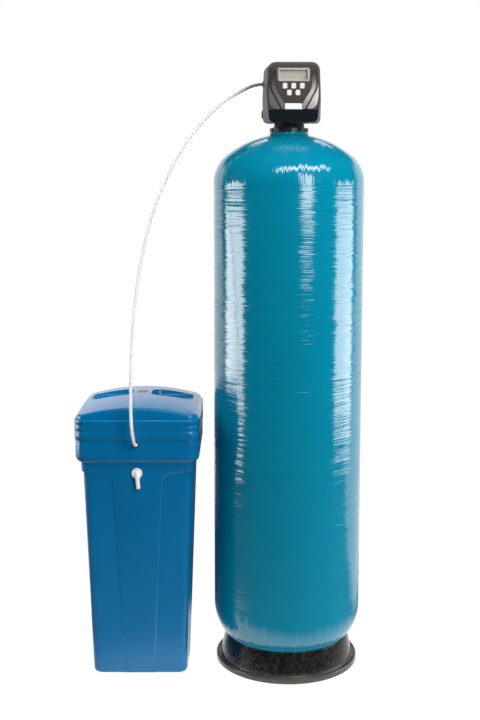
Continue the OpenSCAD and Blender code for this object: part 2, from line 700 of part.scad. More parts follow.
// Involute gear outline: half the tooth angle shrinks outwards from the base circle
function involute(base, r) = r <= base ? 0 : let (a = acos(base / r)) tan(a) * 180 / PI - a;
function gear_outline(teeth, tip) = let (pitch = gear_module * teeth / 2, base = pitch * cos(20),
        root = pitch - 1.3 * gear_module, mid = max(base, (root + pitch) / 2),
        radii = [root, mid, pitch, (pitch + tip) / 2, tip],
        half0 = 90 / teeth - backlash / pitch * 90 / PI + involute(base, pitch))
    [for (i = [0:teeth - 1]) for (k = [0:9]) let (r = radii[k < 5 ? k : 9 - k],
        half = half0 - involute(base, r), a = 360 * i / teeth + (k < 5 ? -half : half)) r * [cos(a), sin(a)]];
function tip_r(teeth, addendum) = gear_module * (teeth / 2 + addendum);
pinion_tip = tip_r(pinion_teeth, 1);
module gear(teeth, tip, y0, t, x, z, phase) {
    y_prism(y0, y0 + t) translate([x, z]) rotate(phase) polygon(gear_outline(teeth, tip));
}
// Line from the drive gear to its pinion, where a tooth meets a gap
drive_line = atan2(reduction_z - valve_z, reduction_x);
module drive_gear() color([0.93, 0.93, 0.9]) difference() {
    union() {
        gear(drive_teeth, tip_r(drive_teeth, 0.75), gear_y, gear_t, 0, valve_z, drive_line);
        y_rod(hub_r, gear_y, hub_back, 0, valve_z);
    }
    y_rod(rod_r + run, gear_y - over, hub_back + over, 0, valve_z);
    for (i = [0:5]) translate([0, 0, valve_z]) rotate([0, 60 * i, 0])
        y_rod(4, gear_y - over, gear_y + gear_t + over, drive_teeth * gear_module / 3, 0);
}
pinion_step = 180 / pinion_teeth;
module reduction_gear() color([0.93, 0.93, 0.9]) difference() {
    union() {
        gear(pinion_teeth, pinion_tip, gear_y, gear_t + 1, reduction_x, reduction_z,
            drive_line + 180 + pinion_step);
        gear(wheel_teeth, tip_r(wheel_teeth, 0.75), wheel_y, wheel_t, reduction_x, reduction_z, motor_angle);
    }
    y_rod(post_r + run, gear_y - over, wheel_y + wheel_t + over, reduction_x, reduction_z);
}
module motor_pinion() color([0.8, 0.7, 0.4]) {
    gear(pinion_teeth, pinion_tip, wheel_y, wheel_t, motor_x, motor_z, motor_angle + 180 + pinion_step);
    y_rod(shaft_r, wheel_y + 1, cap_y + 7.5, motor_x, motor_z);
}
module drive_motor() color([0.7, 0.7, 0.72]) difference() {
    union() {
        y_rod(motor_r, cap_y, cap_y + motor_len, motor_x, motor_z);
        y_rod(motor_r / 3, cap_y + motor_len - 1, cap_y + motor_len + 2, motor_x, motor_z);
    }
    y_rod(shaft_r + run, cap_y - over, cap_y + 8, motor_x, motor_z);
}
// Upright carrier for the gears, motor and circuit board
module drive_bracket() color([0.12, 0.12, 0.13]) {
    y_prism(bracket_y, cap_y) difference() {
        translate([cover_x, (board_z[1] + cover_z + 10) / 2])
            polygon(round_poly(round_rect(arm_x + 2, (board_z[1] - cover_z - 14) / 2, 8)));
        translate([0, valve_z]) circle(hub_r + fit);
        translate([motor_x, motor_z]) circle(4);
        translate([cover_x + 26, motor_z + 8]) polygon(round_poly(round_rect(17, 20, 5)));
        translate([cover_x - 2, board_z[1] - 16]) polygon(round_poly(round_rect(30, 8, 4)));
    }
    y_rod(post_r, gear_y, bracket_y + 1, reduction_x, reduction_z);
    for (p = gear_bosses) y_rod(3.5, gear_cover_y, bracket_y + 1, p[0], p[1]);
    for (s = [-1, 1]) {
        for (z = post_z) y_rod(3, board_y + board_t, bracket_y + 1, cover_x + s * post_x, z);
        translate([cover_x + s * arm_x - 2, cap_y - 1, arm_z]) cube([4, back_plate_y - cap_y + 1, 14]);
    }
}
module gear_cover() color([0.1, 0.1, 0.1]) y_prism(gear_cover_y - gear_cover_t, gear_cover_y)
    difference() {
        polygon(round_poly([[gear_bosses[1][0] - 5, gear_bosses[0][1] - 10, 8],
            [gear_bosses[0][0] + 9, gear_bosses[0][1] - 10, 8], [gear_bosses[0][0] + 9, valve_z + 20, 12],
            [gear_bosses[2][0] + 10, gear_bosses[2][1] + 12, 8], [motor_x - 9, motor_z + 10, 10]]));
        translate([0, valve_z]) circle(rod_r + 2);
    }

// Tapered, crowned shape of the head cover, shrunk by inset and run to rear
function cover_outline(half, inset) =
    let (w = half - inset, low = cover_z + inset, high = cover_z + cover_h - inset,
        foot = 1.5 + cover_foot_taper * (cover_rear_w - 2 * half) / (cover_rear_w - cover_front_w))
    round_poly(mirrored([[w - foot, low, max(cover_bottom_r - inset, 2)], [w, face_z - 12, 260],
        [w - 5, high, max(cover_top_r - inset, 2)]]), 5);
function cover_half(y) = cover_front_w / 2 + (y - face_y) / cover_depth * (cover_rear_w - cover_front_w) / 2;
edge_r = 4;
module cover_solid(inset, rear) {
    stations = [[rear, 0], [face_y + edge_r + 3, 0], [face_y + edge_r / 3, edge_r / 3],
        [face_y - 0.6, edge_r]];
    intersection() {
        loft([for (s = stations) [for (p = cover_outline(cover_half(s[0]), inset + s[1]))
            [p[0] + cover_x, s[0], p[1]]]]);
        x_prism(cover_x - cover_rear_w, cover_x + cover_rear_w) polygon(concat([[rear + 2, cover_z - 5]],
            face_arc(face_r - inset), [[rear + 2, cover_z + cover_h + 5]]));
    }
}
function face_arc(r) = let (a = asin((cover_h / 2 + 5) / r))
    arc([face_y + face_r, face_z], r, 180 + a, 180 - a, 14);
module on_face(z)
    translate([cover_x, on_face_y(z, face_r + trim_t), z]) rotate([face_tilt(z), 0, 0]) children();
module face_plate(half_w, half_h, r, y0, y1)
    y_prism(y0, y1) polygon(round_poly(round_rect(half_w, half_h, r)));
// Cut-outs that the cover and the trim share
module face_cuts() {
    on_face(display_z) {
        face_plate(bezel_w / 2 + fit, bezel_h / 2 + fit, 5 + fit, -10, bezel_sink);
        face_plate(window_w / 2 + fit, window_h / 2 + fit, 1.5, -10, 20);
    }
    for (k = keys) translate([cover_x + k[0], 0, k[1]])
        face_plate(key_w / 2 + fit, key_h / 2 + fit, key_corner + fit, face_y - 10, face_y + 12);
}
module front_cover() color([0.1, 0.1, 0.11]) difference() {
    cover_solid(0, cover_rear);
    cover_solid(cover_wall, cover_rear + over);
    translate([0, 0, cover_z - over]) linear_extrude(cover_wall + 2 * over) {
        circle(stem_r + 1);
        translate([-stem_r - 1, 0]) square([2 * stem_r + 2, cover_rear + over]);
    }
    face_cuts();
}
// Skin on the cover's face between two radii, inside an outline of [x, z]
module face_skin(outline, r0, r1) intersection() {
    y_prism(face_y - 10, face_y + 30) translate([cover_x, 0]) polygon(outline);
    x_prism(cover_x - cover_front_w, cover_x + cover_front_w)
        polygon(concat(face_arc(r1), reversed(face_arc(r0))));
}
trim_edge = edge_r + 0.6;
trim_hw = cover_front_w / 2 - trim_edge;
trim_bottom = cover_z + trim_rise;
trim_top = cover_z + cover_h - 7;
trim_outline = round_poly(mirrored([[trim_hw - 7, trim_bottom, 24], [trim_hw, face_z - 8, 200],
    [trim_hw - 5, trim_top, 22]]), 6);
function shield(grow) = round_poly(mirrored([[badge_w / 2 + grow, trim_bottom + badge_h + 2.5 - grow, 2],
    [bezel_w / 2 + 6 + grow, key_z - 6, 50],
    [bezel_w / 2 + 4 + grow, display_z + bezel_h / 2 + 4 + grow, 6]]), 6);
// Line of the sweeping groove from the top edge down beside the badge plate
function sweep(w) = round_poly(mirrored([[badge_w / 2 + 9 + w, trim_bottom - 2, 0],
    [trim_hw - 5 + w, key_z - 2, 60],
    [trim_hw - 11 + w, display_z + 10, 40], [bezel_w / 2 + 2 + w, trim_top + 2, 0]]), 8);
groove_w = 2;
groove_floor = 0.4;
module front_trim() color([0.45, 0.44, 0.42]) difference() {
    face_skin(trim_outline, face_r, face_r + trim_t);
    face_skin(shield(fit), face_r - over, face_r + trim_t + over);
    difference() {
        face_skin(sweep(groove_w / 2), face_r + groove_floor, face_r + trim_t + over);
        face_skin(sweep(-groove_w / 2), face_r, face_r + trim_t + 2 * over);
    }
    on_face(badge_z) translate([0, 0, -2])
        face_plate(badge_w / 2 + fit, badge_h / 2 + fit + 2, 1, -5, plate_sink);
    face_cuts();
}
module keypad_panel() color([0.12, 0.11, 0.1]) difference() {
    face_skin(shield(0), face_r, face_r + trim_t - 0.3);
    face_cuts();
}
module display_bezel() color([0.8, 0.79, 0.76]) on_face(display_z) difference() {
    face_plate(bezel_w / 2, bezel_h / 2, 5, -bezel_proud, bezel_sink);
    face_plate(window_w / 2 - window_lap, window_h / 2 - window_lap, 1,
        -bezel_proud - over, bezel_sink + over);
}
module display_window() color([0.7, 0.72, 0.62, 0.6]) on_face(display_z)
    face_plate(window_w / 2, window_h / 2, 1, bezel_sink, bezel_sink + window_t);
module badge_plate() color([0.92, 0.92, 0.92]) on_face(badge_z)
    face_plate(badge_w / 2, badge_h / 2, 1, -0.6, plate_sink);
// Sprung key: cap through the face, retaining flange behind it, stem to the switch
module button(i) {
    k = keys[i];
    lip = 1.5;
    reach = max(abs(k[1] + key_h / 2 + lip - face_z), abs(k[1] - key_h / 2 - lip - face_z));
    flange_y = on_face_y(face_z + reach, face_r - cover_wall) + fit;
    color([0.95, 0.95, 0.93]) translate([cover_x + k[0], 0, k[1]]) {
        face_plate(key_w / 2, key_h / 2, key_corner,
            on_face_y(k[1], face_r + trim_t) - key_proud, flange_y + 1);
        face_plate(key_w / 2 + lip, key_h / 2 + lip, key_corner, flange_y, flange_y + 1.5);
        y_rod(3, flange_y + 1, board_y - switch_h - key_travel - fit);
    }
}
module button_1() button(0);
module button_2() button(1);
module button_3() button(2);
module button_4() button(3);
module button_5() button(4);
module control_board() color([0.05, 0.35, 0.2]) {
    translate([cover_x, 0, (board_z[0] + board_z[1]) / 2])
        face_plate(board_hw, (board_z[1] - board_z[0]) / 2, 2, board_y, board_y + board_t);
    for (k = keys) translate([cover_x + k[0], 0, k[1]])
        face_plate(3, 3, 0.5, board_y - switch_h, board_y + 0.5);
    translate([cover_x - 34, 0, board_z[0] + 12]) face_plate(9, 9, 0.5, board_y - 2, board_y + 0.5);
    translate([cover_x + 34, 0, board_z[0] + 10]) face_plate(12, 5, 1, board_y - 8, board_y + 0.5);
}
module lcd_module() color([0.6, 0.65, 0.5]) translate([cover_x, 0, display_z])
    face_plate(window_w / 2 + 2.5, window_h / 2 + 3, 1, board_y - lcd_t, board_y);
// Rear plate that the cover snaps over, cut round the valve's pipes
module back_plate() color([0.1, 0.1, 0.1]) difference() {
    intersection() {
        cover_solid(cover_wall + fit, cover_rear);
        translate([cover_x - cover_rear_w, back_plate_y, cover_z])
            cube([2 * cover_rear_w, back_plate_t, cover_h]);
    }
    y_rod(barrel_r + fit, 0, cover_rear + over, 0, valve_z);
    translate([-stem_r - fit, 0, cover_z]) cube([2 * (stem_r + fit), cover_rear + over, valve_z - cover_z]);
    for (s = [-1, 1]) y_rod(port_r + fit, 0, cover_rear + over, s * port_x, port_z);
    translate([-port_x, 0, port_z - cross_r - fit])
        cube([2 * port_x, cover_rear + over, 2 * (cross_r + fit)]);
    y_rod(refill_r + fit, 0, cover_rear + over, refill_x, refill_z);
    y_rod(drain_r + fit, 0, cover_rear + over, drain_x, drain_z);
    y_rod(5, 0, cover_rear + over, cover_x + 60, refill_z);
}

// Pipes, caps and nuts on the valve
spigot = 10;
module injector_cap() {
    flutes = 12;
    cap_r = 13;
    color([0.12, 0.12, 0.12]) translate([injector_x, top_y, block_z]) difference() {
        union() {
            cylinder(r = cap_r, h = 15);
            translate([0, 0, -spigot]) cylinder(r = injector_r - fit, h = spigot + 1);
        }
        for (i = [0:flutes - 1]) rotate(360 * i / flutes)
            translate([cap_r + 1, 0, 3]) cylinder(r = 2.2, h = 20);
    }
}
module drain_elbow() color([0.1, 0.1, 0.1]) difference() {
    union() {
        translate([drain_x, top_y, block_z - spigot]) cylinder(r = drain_r - fit, h = spigot + 1);
        translate([drain_x, top_y, block_z]) cylinder(r = drain_r + 2, h = drain_z - block_z);
        translate([drain_x, top_y, drain_z]) sphere(r = drain_r + 2);
        y_rod(drain_r - 0.6, top_y, drain_end - barb_len + 1, drain_x, drain_z);
        y_rod(drain_r, drain_end - barb_len, drain_end, drain_x, drain_z);
    }
    translate([drain_x, top_y, block_z - spigot - over])
        cylinder(r = drain_r - 3, h = drain_z - block_z + spigot);
    y_rod(drain_r - 2.5, top_y, drain_end + over, drain_x, drain_z);
}
module refill_elbow() color([0.1, 0.1, 0.1]) {
    translate([refill_x, top_y, block_z - spigot]) cylinder(r = refill_r - 3 - fit, h = spigot + 1);
    translate([refill_x, top_y, block_z]) cylinder(r = refill_r, h = refill_z - block_z);
    translate([refill_x, top_y, refill_z]) sphere(r = refill_r);
    y_rod(refill_r, top_y, refill_y, refill_x, refill_z);
    translate([refill_x, refill_y, refill_z]) sphere(r = refill_r);
    x_rod(refill_r, refill_end, refill_x, refill_y, refill_z);
}
module tube_nut() {
    flutes = 10;
    r = refill_r + 2.5;
    color([0.12, 0.12, 0.12]) difference() {
        x_rod(r, refill_end - nut_len, refill_end, refill_y, refill_z);
        x_rod(socket_r, refill_end - nut_len - over, route[0][0] + fit, refill_y, refill_z);
        for (i = [0:flutes - 1]) translate([0, refill_y, refill_z]) rotate([360 * i / flutes, 0, 0])
            x_rod(1.4, refill_end - nut_len - over, refill_end - 3, 0, r + 0.4);
    }
}
nut_y = [barrel_back + 1, port_y + 8.3];
flange_t = 4;
module port_nuts() {
    flutes = 12;
    color([0.08, 0.08, 0.08]) for (s = [-1, 1]) difference() {
        y_rod(nut_r, nut_y[0], nut_y[1], s * port_x, port_z);
        y_rod(port_r + fit, nut_y[0] - over, port_y + flange_t + 0.5, s * port_x, port_z);
        y_rod(pipe_r - 0.3, nut_y[0], nut_y[1] + over, s * port_x, port_z);
        for (i = [0:flutes - 1]) translate([s * port_x, 0, port_z]) rotate([0, 360 * i / flutes, 0])
            y_rod(3, nut_y[0] - over, nut_y[1] + over, nut_r + 1.5, 0);
    }
}
module fitting(x) color([0.82, 0.82, 0.8]) difference() {
    union() {
        y_rod(port_r - 1.5, port_y + 0.9, port_y + flange_t, x, port_z);
        y_rod(pipe_r - 0.6, port_y + flange_t - 1, nut_y[1] + 0.7, x, port_z);
        y_rod(pipe_r, nut_y[1] + 0.7, nut_y[1] + 0.7 + pipe_len, x, port_z);
    }
    y_rod(port_bore_r - 0.5, port_y, nut_y[1] + pipe_len + 2 * over, x, port_z);
}
module inlet_fitting() fitting(port_x);
module outlet_fitting() fitting(-port_x);
module meter_turbine() {
    blades = 6;
    hub = 4;
    mid = (turbine_y[0] + turbine_y[1]) / 2;
    color([0.9, 0.9, 0.9]) translate([-port_x, 0, port_z]) difference() {
        union() {
            y_rod(hub, turbine_y[0], turbine_y[1]);
            intersection() {
                y_rod(port_bore_r - 1.5, turbine_y[0], turbine_y[1]);
                for (i = [0:blades - 1]) rotate([0, 360 * i / blades, 0]) translate([hub - 1, mid, 0])
                    rotate([40, 0, 0]) translate([0, -12, -0.6]) cube([port_bore_r, 24, 1.2]);
            }
        }
        y_rod(shaft_r + run, turbine_y[0] - over, turbine_y[1] + over);
    }
}

// Brine tank: tapered body, proud centre panels and a wide rim
module brine_at() translate([brine_x, 0, 0]) children();
// Levels of a tapered body with a rounded foot: half width h0 at z0 and h1 at z1
function body_sections(z0, h0, z1, h1, r) = let (e = floor_round, rise = (h1 - h0) / (z1 - z0))
    [[z0, h0 - e * 0.7, r - e * 0.3], [z0 + e * 0.3, h0 + rise * e * 0.3 - e * 0.25, r],
        [z0 + e, h0 + rise * e, r], [z1, h1, r]];
function panel_outline(grow) = round_poly(mirrored([[panel_base_w / 2 + grow, -over, 0],
    [panel_top_w / 2 + grow, panel_top_z - 30 - grow, panel_flare_r - grow],
    [brine_top_w, panel_top_z - grow, 0], [brine_top_w, brine_body_h + over, 0]]), 8);
// Outline of the front panel at a share of its height above the body
function panel_ring(share, grow) = [for (p = panel_outline(grow * panel_draft))
    [p[0], -(1 - share) * body_half(p[1]) - share * panel_half(p[1]), p[1]]];
module brine_body() {
    square_loft(body_sections(0, body_half(0), rim_z, body_half(rim_z), brine_corner_r));
    for (a = [0:90:270]) rotate(a) intersection() {
        square_loft(body_sections(0, panel_half(0), rim_z, panel_half(rim_z), brine_corner_r));
        loft([panel_ring(-3, 1), panel_ring(0, 1), panel_ring(0.2, 0.7), panel_ring(0.8, 0.3),
            panel_ring(1, 0), panel_ring(1.5, -0.2)], paired = true);
    }
    half = rim_w / 2;
    r = rim_corner_r;
    square_loft([[rim_z - rim_flare, body_half(rim_z - rim_flare) - 1, r - 12], [rim_z - 4, half - 9, r - 8],
        [rim_z + 1, half - 4, r - 3], [rim_z + 6, half - 1, r], [rim_z + 12, half, r],
        [rim_top - 3, half, r], [rim_top - 1, half - 0.6, r], [rim_top, half - 2, r]]);
}
module on_wall(z) translate([brine_x, -panel_half(z), z]) rotate([wall_tilt, 0, 0]) children();
rim_inner = rim_w / 2 - brine_wall;
cavity_z = rim_z + brine_wall + over;
module brine_tank() color([0.0, 0.36, 0.62]) difference() {
    brine_at() difference() {
        brine_body();
        square_loft(body_sections(brine_wall, body_half(brine_wall) - brine_wall, cavity_z,
            body_half(cavity_z) - brine_wall, brine_corner_r - brine_wall));
        square_loft([for (z = [cavity_z - over, rim_top + over])
            [z, rim_inner, rim_corner_r - brine_wall]]);
    }
    on_wall(overflow_z) y_rod(tail_r + fit, -20, 40);
    y_rod(tube_hole_r, -rim_w, -rim_inner + 10, brine_x, tube_hole_z);
}
// Crowned lid with a stepped skirt, two hand grips and a lip inside the rim
line_z = rim_top + 29;
rib_z = (line_z + step_z) / 2;
lid_fade = 26;
lid_fold = 1;
// Outline at one level: a slight fold at mid-side, corners drawn in by a groove that fades along the sides
function lid_ring(half, r, groove = 0) = let (c = half - r, side = c - min(lid_fade, c / 2),
        quarter = concat([[half + lid_fold, 0], [half, side]], arc([c, c], r - groove, 0, 90, 6),
            [[side, half]]))
    [for (q = [0:3]) each [for (p = quarter) [p[0] * cos(90 * q) - p[1] * sin(90 * q),
        p[0] * sin(90 * q) + p[1] * cos(90 * q)]]];
function crown_z(p) = lid_top - sag(lid_arch_r, p[0]) - sag(lid_crown_r, p[1]);
function skirt_ring(z, inset, groove = 0) =
    [for (p = lid_ring(lid_half - inset, rim_corner_r - inset, groove)) [p[0], p[1], z]];
function edge_ring(a) = let (inset = crown_inset + lid_edge_r * (1 - cos(a)))
    [for (p = lid_ring(lid_half - inset, rim_corner_r - inset))
        [p[0], p[1], crown_z(p) - lid_edge_r * (1 - sin(a))]];
function crown_ring(k, inset, drop = 0) = [for (p = lid_ring(lid_half - inset, rim_corner_r - inset))
    [k * p[0], k * p[1], crown_z(k * p) - drop]];
module lid_shell() loft(concat([skirt_ring(rim_top, 1.5), skirt_ring(rim_top + 2, 0),
        skirt_ring(line_z - 2.5, 0), skirt_ring(line_z, 1, 1.2), skirt_ring(line_z + 2.5, 0),
        skirt_ring(rib_z - 4, 0), skirt_ring(rib_z, 0, 2.4), skirt_ring(rib_z + 4, 0),
        skirt_ring(step_z - 4, 0), skirt_ring(step_z - 1, 1), skirt_ring(step_z, lid_step, 1)],
    [for (a = [0:30:90]) edge_ring(a)], [for (k = [0.8, 0.5, 0.2]) crown_ring(k, crown_inset + lid_edge_r)]),
    [0, 0, lid_top]);
// Space inside the lid
module lid_space() {
    inner = crown_inset + brine_wall + 2;
    loft(concat([skirt_ring(rim_top - over, brine_wall), skirt_ring(step_z - 6, brine_wall),
            skirt_ring(step_z, brine_wall + lid_step)],
        [for (k = [1, 0.8, 0.5, 0.2]) crown_ring(k, inner, brine_wall)]), [0, 0, lid_top - brine_wall]);
}
lid_cap_drop = 5;
lip_t = 4;
grip_r = 30;
grip_round = 9;
grip_flare = 5;
module grips(grow, lift) {
    half = [(grip_outer - grip_inner) / 2, (grip_y[1] - grip_y[0]) / 2];
    z = lid_top - lid_cap_drop - grip_depth - lift;
    levels = [[z, -grip_round], [z + grip_round * 0.3, -grip_round * 0.35], [z + grip_round, 0],
        [lid_top + grip_depth, grip_flare]];
    for (s = [-1, 1]) translate([s * (grip_inner + grip_outer) / 2, (grip_y[0] + grip_y[1]) / 2, 0])
        loft([for (l = levels) let (g = l[1] + grow)
            [for (p = round_poly(round_rect(half[0] + g, half[1] + g, grip_r + g))) [p[0], p[1], l[0]]]]);
}
module lip_ring(half, z0, z1) difference() {
    inner = rim_inner - 0.5 - lip_t;
    square_loft([for (z = [z0, z1]) [z, half, rim_corner_r - rim_w / 2 + half]]);
    square_loft([for (z = [z0 - over, z1 + over]) [z, inner, rim_corner_r - rim_w / 2 + inner]]);
}
module brine_lid() color([0.0, 0.36, 0.62]) brine_at() difference() {
    union() {
        difference() {
            lid_shell();
            difference() {
                lid_space();
                grips(brine_wall, brine_wall);
            }
        }
        lip_ring(rim_inner - 0.5, rim_top - lid_lip, rim_top + lip_t);
        lip_ring(lid_half - brine_wall + 1, rim_top, rim_top + lip_t);
    }
    grips(0, 0);
    translate([0, lid_cap_y, lid_top - lid_cap_drop]) cylinder(r = lid_cap_r + fit, h = 20);
}
module lid_cap() color([0.45, 0.42, 0.38]) brine_at() translate([0, lid_cap_y, lid_top - lid_cap_drop]) {
    cylinder(r = lid_cap_r, h = lid_cap_drop - 1);
    cylinder(r1 = lid_cap_r - 1, r2 = lid_cap_r - 4, h = lid_cap_drop + 0.5);
}
// Overflow through the tank's front wall into the well
module overflow_elbow() {
    front = -gasket_t - disc_t;
    color([0.95, 0.95, 0.94]) on_wall(overflow_z) {
        y_rod(16, front, -gasket_t);
        y_rod(tail_r, front + 1, nut_face + nut_t + 2);
        translate([0, front - 2, 0]) {
            sphere(r = spout_r + 0.6);
            rotate([0, -spout_tilt, 0]) {
                translate([0, 0, -spout_len]) cylinder(r = spout_r, h = spout_len);
                translate([0, 0, -spout_neck]) cylinder(r = spout_r + 0.6, h = spout_neck);
            }
        }
    }
}
module overflow_gasket() color([0.15, 0.15, 0.15]) on_wall(overflow_z) difference() {
    y_rod(15, -gasket_t, 0);
    y_rod(tail_r + fit, -gasket_t - over, over);
}
module overflow_nut() color([0.9, 0.9, 0.9]) on_wall(overflow_z) difference() {
    y_rod(nut_half, nut_face, nut_face + nut_t, $fn = 6);
    y_rod(tail_r + fit, nut_face - over, nut_face + nut_t + over);
}
module tube_grommet() color([0.05, 0.05, 0.05]) difference() {
    union() {
        y_rod(tube_hole_r - fit, -rim_w / 2 - 0.5, -rim_inner + 0.5, brine_x, tube_hole_z);
        y_rod(tube_hole_r + 0.5, -rim_w / 2 - 1.5, -rim_w / 2, brine_x, tube_hole_z);
    }
    y_rod(socket_r, -rim_w / 2 - 2 * over - 1, -rim_inner + 2 * over, brine_x, tube_hole_z);
}
module at_well() translate([valve_axis[0], valve_axis[1], 0]) children();
module brine_well() {
    slots = 6;
    color([0.85, 0.85, 0.83]) difference() {
        at_well() difference() {
            translate([0, 0, brine_wall]) cylinder(r = well_r, h = well_h - brine_wall);
            translate([0, 0, brine_wall - over]) cylinder(r = well_r - well_wall, h = well_h + over);
            for (i = [0:slots - 1]) rotate(30 + 360 * i / slots)
                translate([0, -3, brine_wall + 10]) cube([well_r + over, 6, 60]);
        }
        on_wall(overflow_z) y_rod(tail_r + fit, 0, well_y);
        y_rod(tube_hole_r, -rim_w, -well_y, brine_x, tube_hole_z);
    }
}
module well_cap() color([0.85, 0.85, 0.83]) at_well() translate([0, 0, well_h]) difference() {
    union() {
        cylinder(r = well_r + 3, h = 4);
        translate([0, 0, -8]) cylinder(r = well_r - well_wall - fit, h = 9);
    }
    translate([0, 0, -8 - over]) cylinder(r = well_r - well_wall - 3, h = 8 + over);
}
// Float valve, pick-up and air check inside the well
valve_z_low = tube_hole_z - 60;
guide_z = valve_z_low + 10;
guide_h = 10;
module brine_valve() color([0.88, 0.88, 0.86]) difference() {
    union() {
        at_well() translate([0, 0, valve_z_low]) cylinder(r = 14, h = 68);
        y_rod(9, -well_y - 19, -well_y, brine_x, tube_hole_z);
        y_rod(11, -well_y - 27, -well_y - 18, brine_x, tube_hole_z);
        at_well() translate([0, -7, guide_z]) cube([rod_x + 7, 14, guide_h]);
    }
    y_rod(socket_r, -well_y - 27 - over, route[len(route) - 1][1] + fit, brine_x, tube_hole_z);
    at_well() translate([0, 0, valve_z_low - over]) cylinder(r = pickup_r + fit, h = 20 + over);
    at_well() translate([rod_x, 0, guide_z - over]) cylinder(r = rod_thick + run, h = guide_h + 2 * over);
}
check_h = 48;
module pickup_tube() color([0.93, 0.93, 0.92]) at_well() difference() {
    foot = brine_wall + check_h - 16;
    translate([0, 0, foot]) cylinder(r = pickup_r, h = valve_z_low + 20 - foot);
    translate([0, 0, brine_wall]) cylinder(r = pickup_r - 1.2, h = valve_z_low + 40);
}
module air_check() {
    windows = 4;
    color([0.9, 0.9, 0.9]) at_well() translate([0, 0, brine_wall]) difference() {
        cylinder(r = 16, h = check_h);
        translate([0, 0, 4]) cylinder(r = 12, h = check_h - 26);
        translate([0, 0, check_h - 16]) cylinder(r = pickup_r + fit, h = 16 + over);
        translate([0, 0, check_h - 24]) cylinder(r = 4, h = 10);
        for (i = [0:windows - 1]) rotate(45 + 90 * i) translate([8, -4, 4]) cube([12, 8, 14]);
    }
}
float_low = guide_z - float_drop;
rod_low = float_low - 20;
// Rod whose head rests on the guide and whose ring stops the float's rise
module float_rod() color([0.75, 0.75, 0.76]) at_well() translate([rod_x, 0, 0]) {
    stop_r = rod_thick + 2;
    stop_t = 4;
    head_z = guide_z + guide_h + fit;
    translate([0, 0, rod_low]) cylinder(r = rod_thick, h = head_z + 1 - rod_low);
    translate([0, 0, rod_low]) cylinder(r = stop_r, h = float_low - rod_low - fit);
    translate([0, 0, guide_z - float_travel - fit - stop_t]) cylinder(r = stop_r, h = stop_t);
    translate([0, 0, head_z]) cylinder(r = stop_r, h = stop_t);
}
module brine_float() color([0.95, 0.95, 0.9]) at_well() translate([rod_x, 0, float_low]) difference() {
    cylinder(r = float_r, h = float_len);
    translate([0, 0, -over]) cylinder(r = rod_thick + fit, h = float_len + 2 * over);
}

// Smooth tube along the route
function blend_point(a, b, c, d, t) =
    b + t / 2 * (c - a + t * (2 * a - 5 * b + 4 * c - d + t * (3 * b - a - 3 * c + d)));
function smooth(p, n) = let (last = len(p) - 1) concat([for (i = [0:last - 1]) for (k = [0:n - 1])
    blend_point(p[max(i - 1, 0)], p[i], p[i + 1], p[min(i + 2, last)], k / n)], [p[last]]);
tube_path = smooth(route, tube_steps);
function tangent(p, i) = unit(p[min(i + 1, len(p) - 1)] - p[max(i - 1, 0)]);
function across(n, t) = unit(n - t * (n * t));
tube_normals = [for (i = 0, n = across([0, 0, 1], tangent(tube_path, 0)); i < len(tube_path);
    i = i + 1, n = across(n, tangent(tube_path, min(i, len(tube_path) - 1)))) n];
module brine_tube() color([0.95, 0.95, 0.93]) loft([for (i = [0:len(tube_path) - 1])
    let (t = tangent(tube_path, i), n = tube_normals[i], b = cross(t, n))
    [for (k = [0:tube_sides - 1]) let (a = 360 * k / tube_sides)
        tube_path[i] + tube_r * (cos(a) * n + sin(a) * b)]]);

tank_shell();
tank_liner();
tank_base();
neck_collar();
riser_tube();
bottom_distributor();
top_distributor();
gravel_bed();
resin_bed();
valve_body();
valve_orings();
spacer_stack();
stack_seals();
main_piston();
regenerant_piston();
drive_cap();
drive_bracket();
drive_motor();
motor_pinion();
reduction_gear();
drive_gear();
gear_cover();
back_plate();
control_board();
lcd_module();
front_cover();
front_trim();
keypad_panel();
display_bezel();
display_window();
badge_plate();
button_1();
button_2();
button_3();
button_4();
button_5();
injector_cap();
refill_elbow();
tube_nut();
drain_elbow();
port_nuts();
inlet_fitting();
outlet_fitting();
meter_turbine();
brine_tank();
brine_lid();
lid_cap();
overflow_elbow();
overflow_gasket();
overflow_nut();
tube_grommet();
brine_well();
well_cap();
brine_valve();
pickup_tube();
float_rod();
brine_float();
air_check();
brine_tube();
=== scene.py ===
"""Looks of the water softener: a wound pressure vessel with its control head, and the salt tank beside it.

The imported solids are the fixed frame, in metres. The pieces made here stand for the solids whose
surfaces need finer forms, and every surface gets its own finish.
"""

import json
import math

